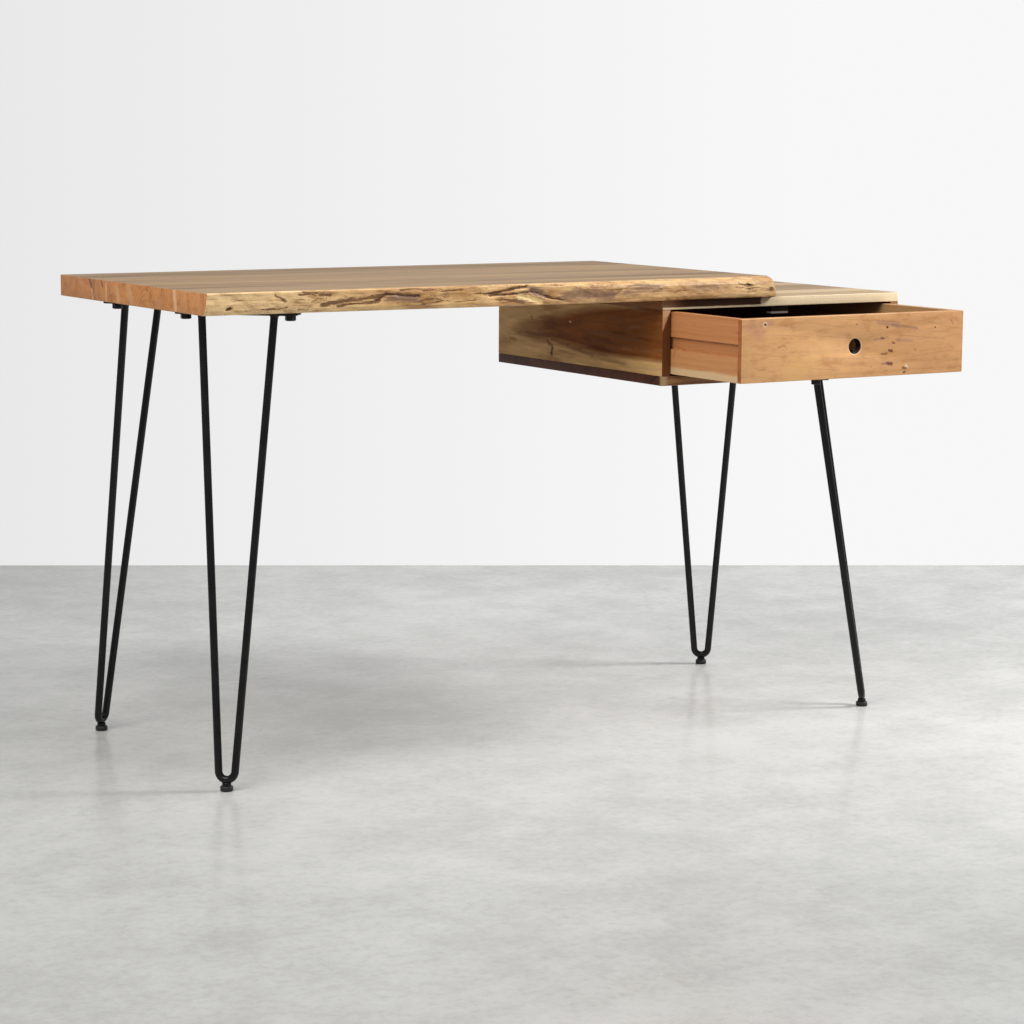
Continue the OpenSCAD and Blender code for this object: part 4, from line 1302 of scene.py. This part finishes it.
PLATE_L, PLATE_W, PLATE_R = 190.0 * MM, 44.0 * MM, 8.0 * MM
PLATE_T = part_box("front_left_plate")[1][2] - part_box("front_left_plate")[0][2]
BOLT_AT = 82.0 * MM
ROD_R = 6.0 * MM
ROD_SPREAD = 57.0 * MM
BEND_R = 13.0 * MM
BEND_Z = 17.4 * MM


def plate_bmesh():
    """A flat bar with rounded corners and softened edges. Its upper face is at z = 0."""
    outline = []
    for quarter, (sx, sy) in enumerate(((1, 1), (-1, 1), (-1, -1), (1, -1))):
        centre = (sx * (PLATE_L / 2 - PLATE_R), sy * (PLATE_W / 2 - PLATE_R))
        for step in range(9):
            angle = math.radians(90 * quarter + 90 * step / 8)
            outline.append((centre, angle))
    edge = 0.8 * MM
    rings = []
    bm = bmesh.new()
    for z, inset in ((-PLATE_T, edge), (-PLATE_T + 0.25 * edge, 0.3 * edge), (-PLATE_T + edge, 0.0),
                     (-edge, 0.0), (-0.25 * edge, 0.3 * edge), (0.0, edge)):
        radius = PLATE_R - inset
        rings.append([bm.verts.new((x + radius * math.cos(angle), y + radius * math.sin(angle), z))
                      for (x, y), angle in outline])
    return skinned(bm, rings)


def bolt_bmesh():
    """A hex head with a rounded crown on a flanged washer. z = 0 is the plate's underside."""
    flats = 7.5

    def hexagonal(angle, index):
        if 5 <= index <= 7:
            return 1.0 / math.cos((angle % (math.tau / 6)) - math.pi / 6)
        return 1.0
    profile = [(0, 0), (8.7, 0), (9, -0.3), (9, -1.2), (8.5, -1.6), (flats, -1.6), (flats, -7.5),
               (flats * 0.985, -7.8), (flats * 0.96, -8.3), (flats * 0.84, -8.6), (flats * 0.55, -8.5),
               (0, -8.4)]
    return lathe_bmesh(profile, shape=hexagonal)


def rod_bmesh(rise, tilt_back):
    """A hairpin in its leg's own directions, with a small weld at each end, up to the height rise."""
    slope = rise / math.cos(tilt_back)
    tilt = math.atan((ROD_SPREAD - BEND_R) / (slope - BEND_R))
    arc = []
    for i in range(33):
        angle = math.pi + tilt + (math.pi - 2 * tilt) * i / 32
        arc.append(Vector((BEND_R * math.cos(angle), 0, BEND_R + BEND_R * math.sin(angle))))
    left_way = Vector((-math.sin(tilt), 0, math.cos(tilt)))
    right_way = Vector((math.sin(tilt), 0, math.cos(tilt)))
    reach = (slope - arc[0].z) / math.cos(tilt)
    steps = [reach - back * MM for back in (-1.5, 0, 1, 2, 3, 4.5, 6)]
    swell = [1.42, 1.42, 1.30, 1.17, 1.08, 1.02, 1.0]
    steps += [reach * share for share in (0.8, 0.6, 0.4, 0.2, 0.08)]
    swell += [1.0] * 5
    centres = [arc[0] + left_way * step for step in steps] + arc
    centres += [arc[-1] + right_way * step for step in reversed(steps)]
    radii = [ROD_R * s for s in swell] + [ROD_R] * len(arc) + [ROD_R * s for s in reversed(swell)]
    return tube_bmesh(centres, Vector((0, 1, 0)), radii)


def boss_bmesh():
    """The round block under a hairpin's bend that its foot screws into."""
    profile = [(0, 8.4), (6.4, 8.4), (7, 9.0), (7, 12.2), (6.6, 13.0), (5.2, 13.8), (0, 14.2)]
    return lathe_bmesh(profile)


def foot_bmesh():
    """A levelling foot: a ribbed pad with its stud."""
    profile = [(0, 0), (8.5, 0), (9.2, 0.25), (9.8, 0.9), (10, 1.8), (10, 3.4), (9.6, 3.7), (9.6, 4.2),
               (10, 4.5), (10, 6.0), (9.7, 7.0), (8.9, 7.7), (8.3, 8.0), (3.4, 8.0), (3.0, 8.3),
               (3.0, 19.4), (0, 19.4)]
    return lathe_bmesh(profile)


joint_at = {joint["name"]: joint for joint in frame["record"]["behaviour"]["joints"]}
for leg, leg_turn in LEG_TURNS.items():
    low, high = (Vector(corner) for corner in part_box(leg + "_plate"))
    plate_top = Vector(((low.x + high.x) / 2, (low.y + high.y) / 2, high.z))
    turn = Matrix.Rotation(math.radians(leg_turn), 4, "Z")
    at_plate = Matrix.Translation(plate_top) @ turn
    foot = Vector(joint_at[leg + "_foot_turn"]["pos_m"])
    foot.z = 0.0
    splay = math.hypot(foot.x - plate_top.x, foot.y - plate_top.y)
    rise = plate_top.z - PLATE_T - BEND_Z
    sign = -1 if leg.startswith("front") else 1
    lean = sign * math.atan(splay / rise)
    at_bend = Matrix.Translation(foot + Vector((0, 0, BEND_Z))) @ turn @ Matrix.Rotation(lean, 4, "X")
    at_foot = Matrix.Translation(foot)
    bolts = joined([moved(bolt_bmesh(), at_plate @ Matrix.Translation((side * BOLT_AT, 0, -PLATE_T)))
                    for side in (-1, 1)])
    for part, bm, sharp, material, slot in (
            ("_plate", moved(plate_bmesh(), at_plate), 40.0, steel, "black_steel"),
            ("_rod", moved(rod_bmesh(rise, lean), at_bend), 60.0, steel, "black_steel"),
            ("_bolts", bolts, 35.0, bolt_black, "black_bolts"),
            ("_boss", moved(boss_bmesh(), at_foot), 40.0, steel, "black_steel"),
            ("_foot", moved(foot_bmesh(), at_foot), 40.0, foot_black, "black_foot")):
        settle(to_object(bm, "visual_" + leg + part, sharp), leg + part, material)

# The hidden fasteners stay the CAD model's own pieces
for node in ("cabinet_dowels", "top_screws", "drawer_stop_screws", "runner_screws", "drawer_pins",
             "drawer_bottom_screws"):
    frame["nodes"][node].data.materials.clear()
    frame["nodes"][node].data.materials.append(wood_plain if node == "cabinet_dowels" else zinc_plate)


# ---------- Floor and lights ----------

def make_floor():
    """A flat floor that ends behind the desk, where the wall starts."""
    bm = bmesh.new()
    centre = Vector(((cad_low[0] + cad_high[0]) / 2, (cad_low[1] + cad_high[1]) / 2, 0))
    turn = Matrix.Rotation(-CAMERA_TURN, 3, "Z")
    corners = [(-FLOOR_SPREAD, -FLOOR_SPREAD), (FLOOR_SPREAD, -FLOOR_SPREAD),
               (FLOOR_SPREAD, FLOOR_BACK + FLOOR_SLANT), (-FLOOR_SPREAD, FLOOR_BACK - FLOOR_SLANT)]
    bm.faces.new([bm.verts.new(centre + turn @ Vector((x, y, -0.1 * MM))) for x, y in corners])
    floor = new_object("floor", mesh_of(bm, "floor"))
    floor.data.materials.append(concrete("floor_concrete"))


make_floor()
make_light("key", 64, 33, 3.6, 0.8, 118)
make_light("left", -66, 40, 3.4, 2.0, 84, (1.0, 0.985, 0.96))
make_light("back_right", 150, 62, 3.2, 2.2, 20)
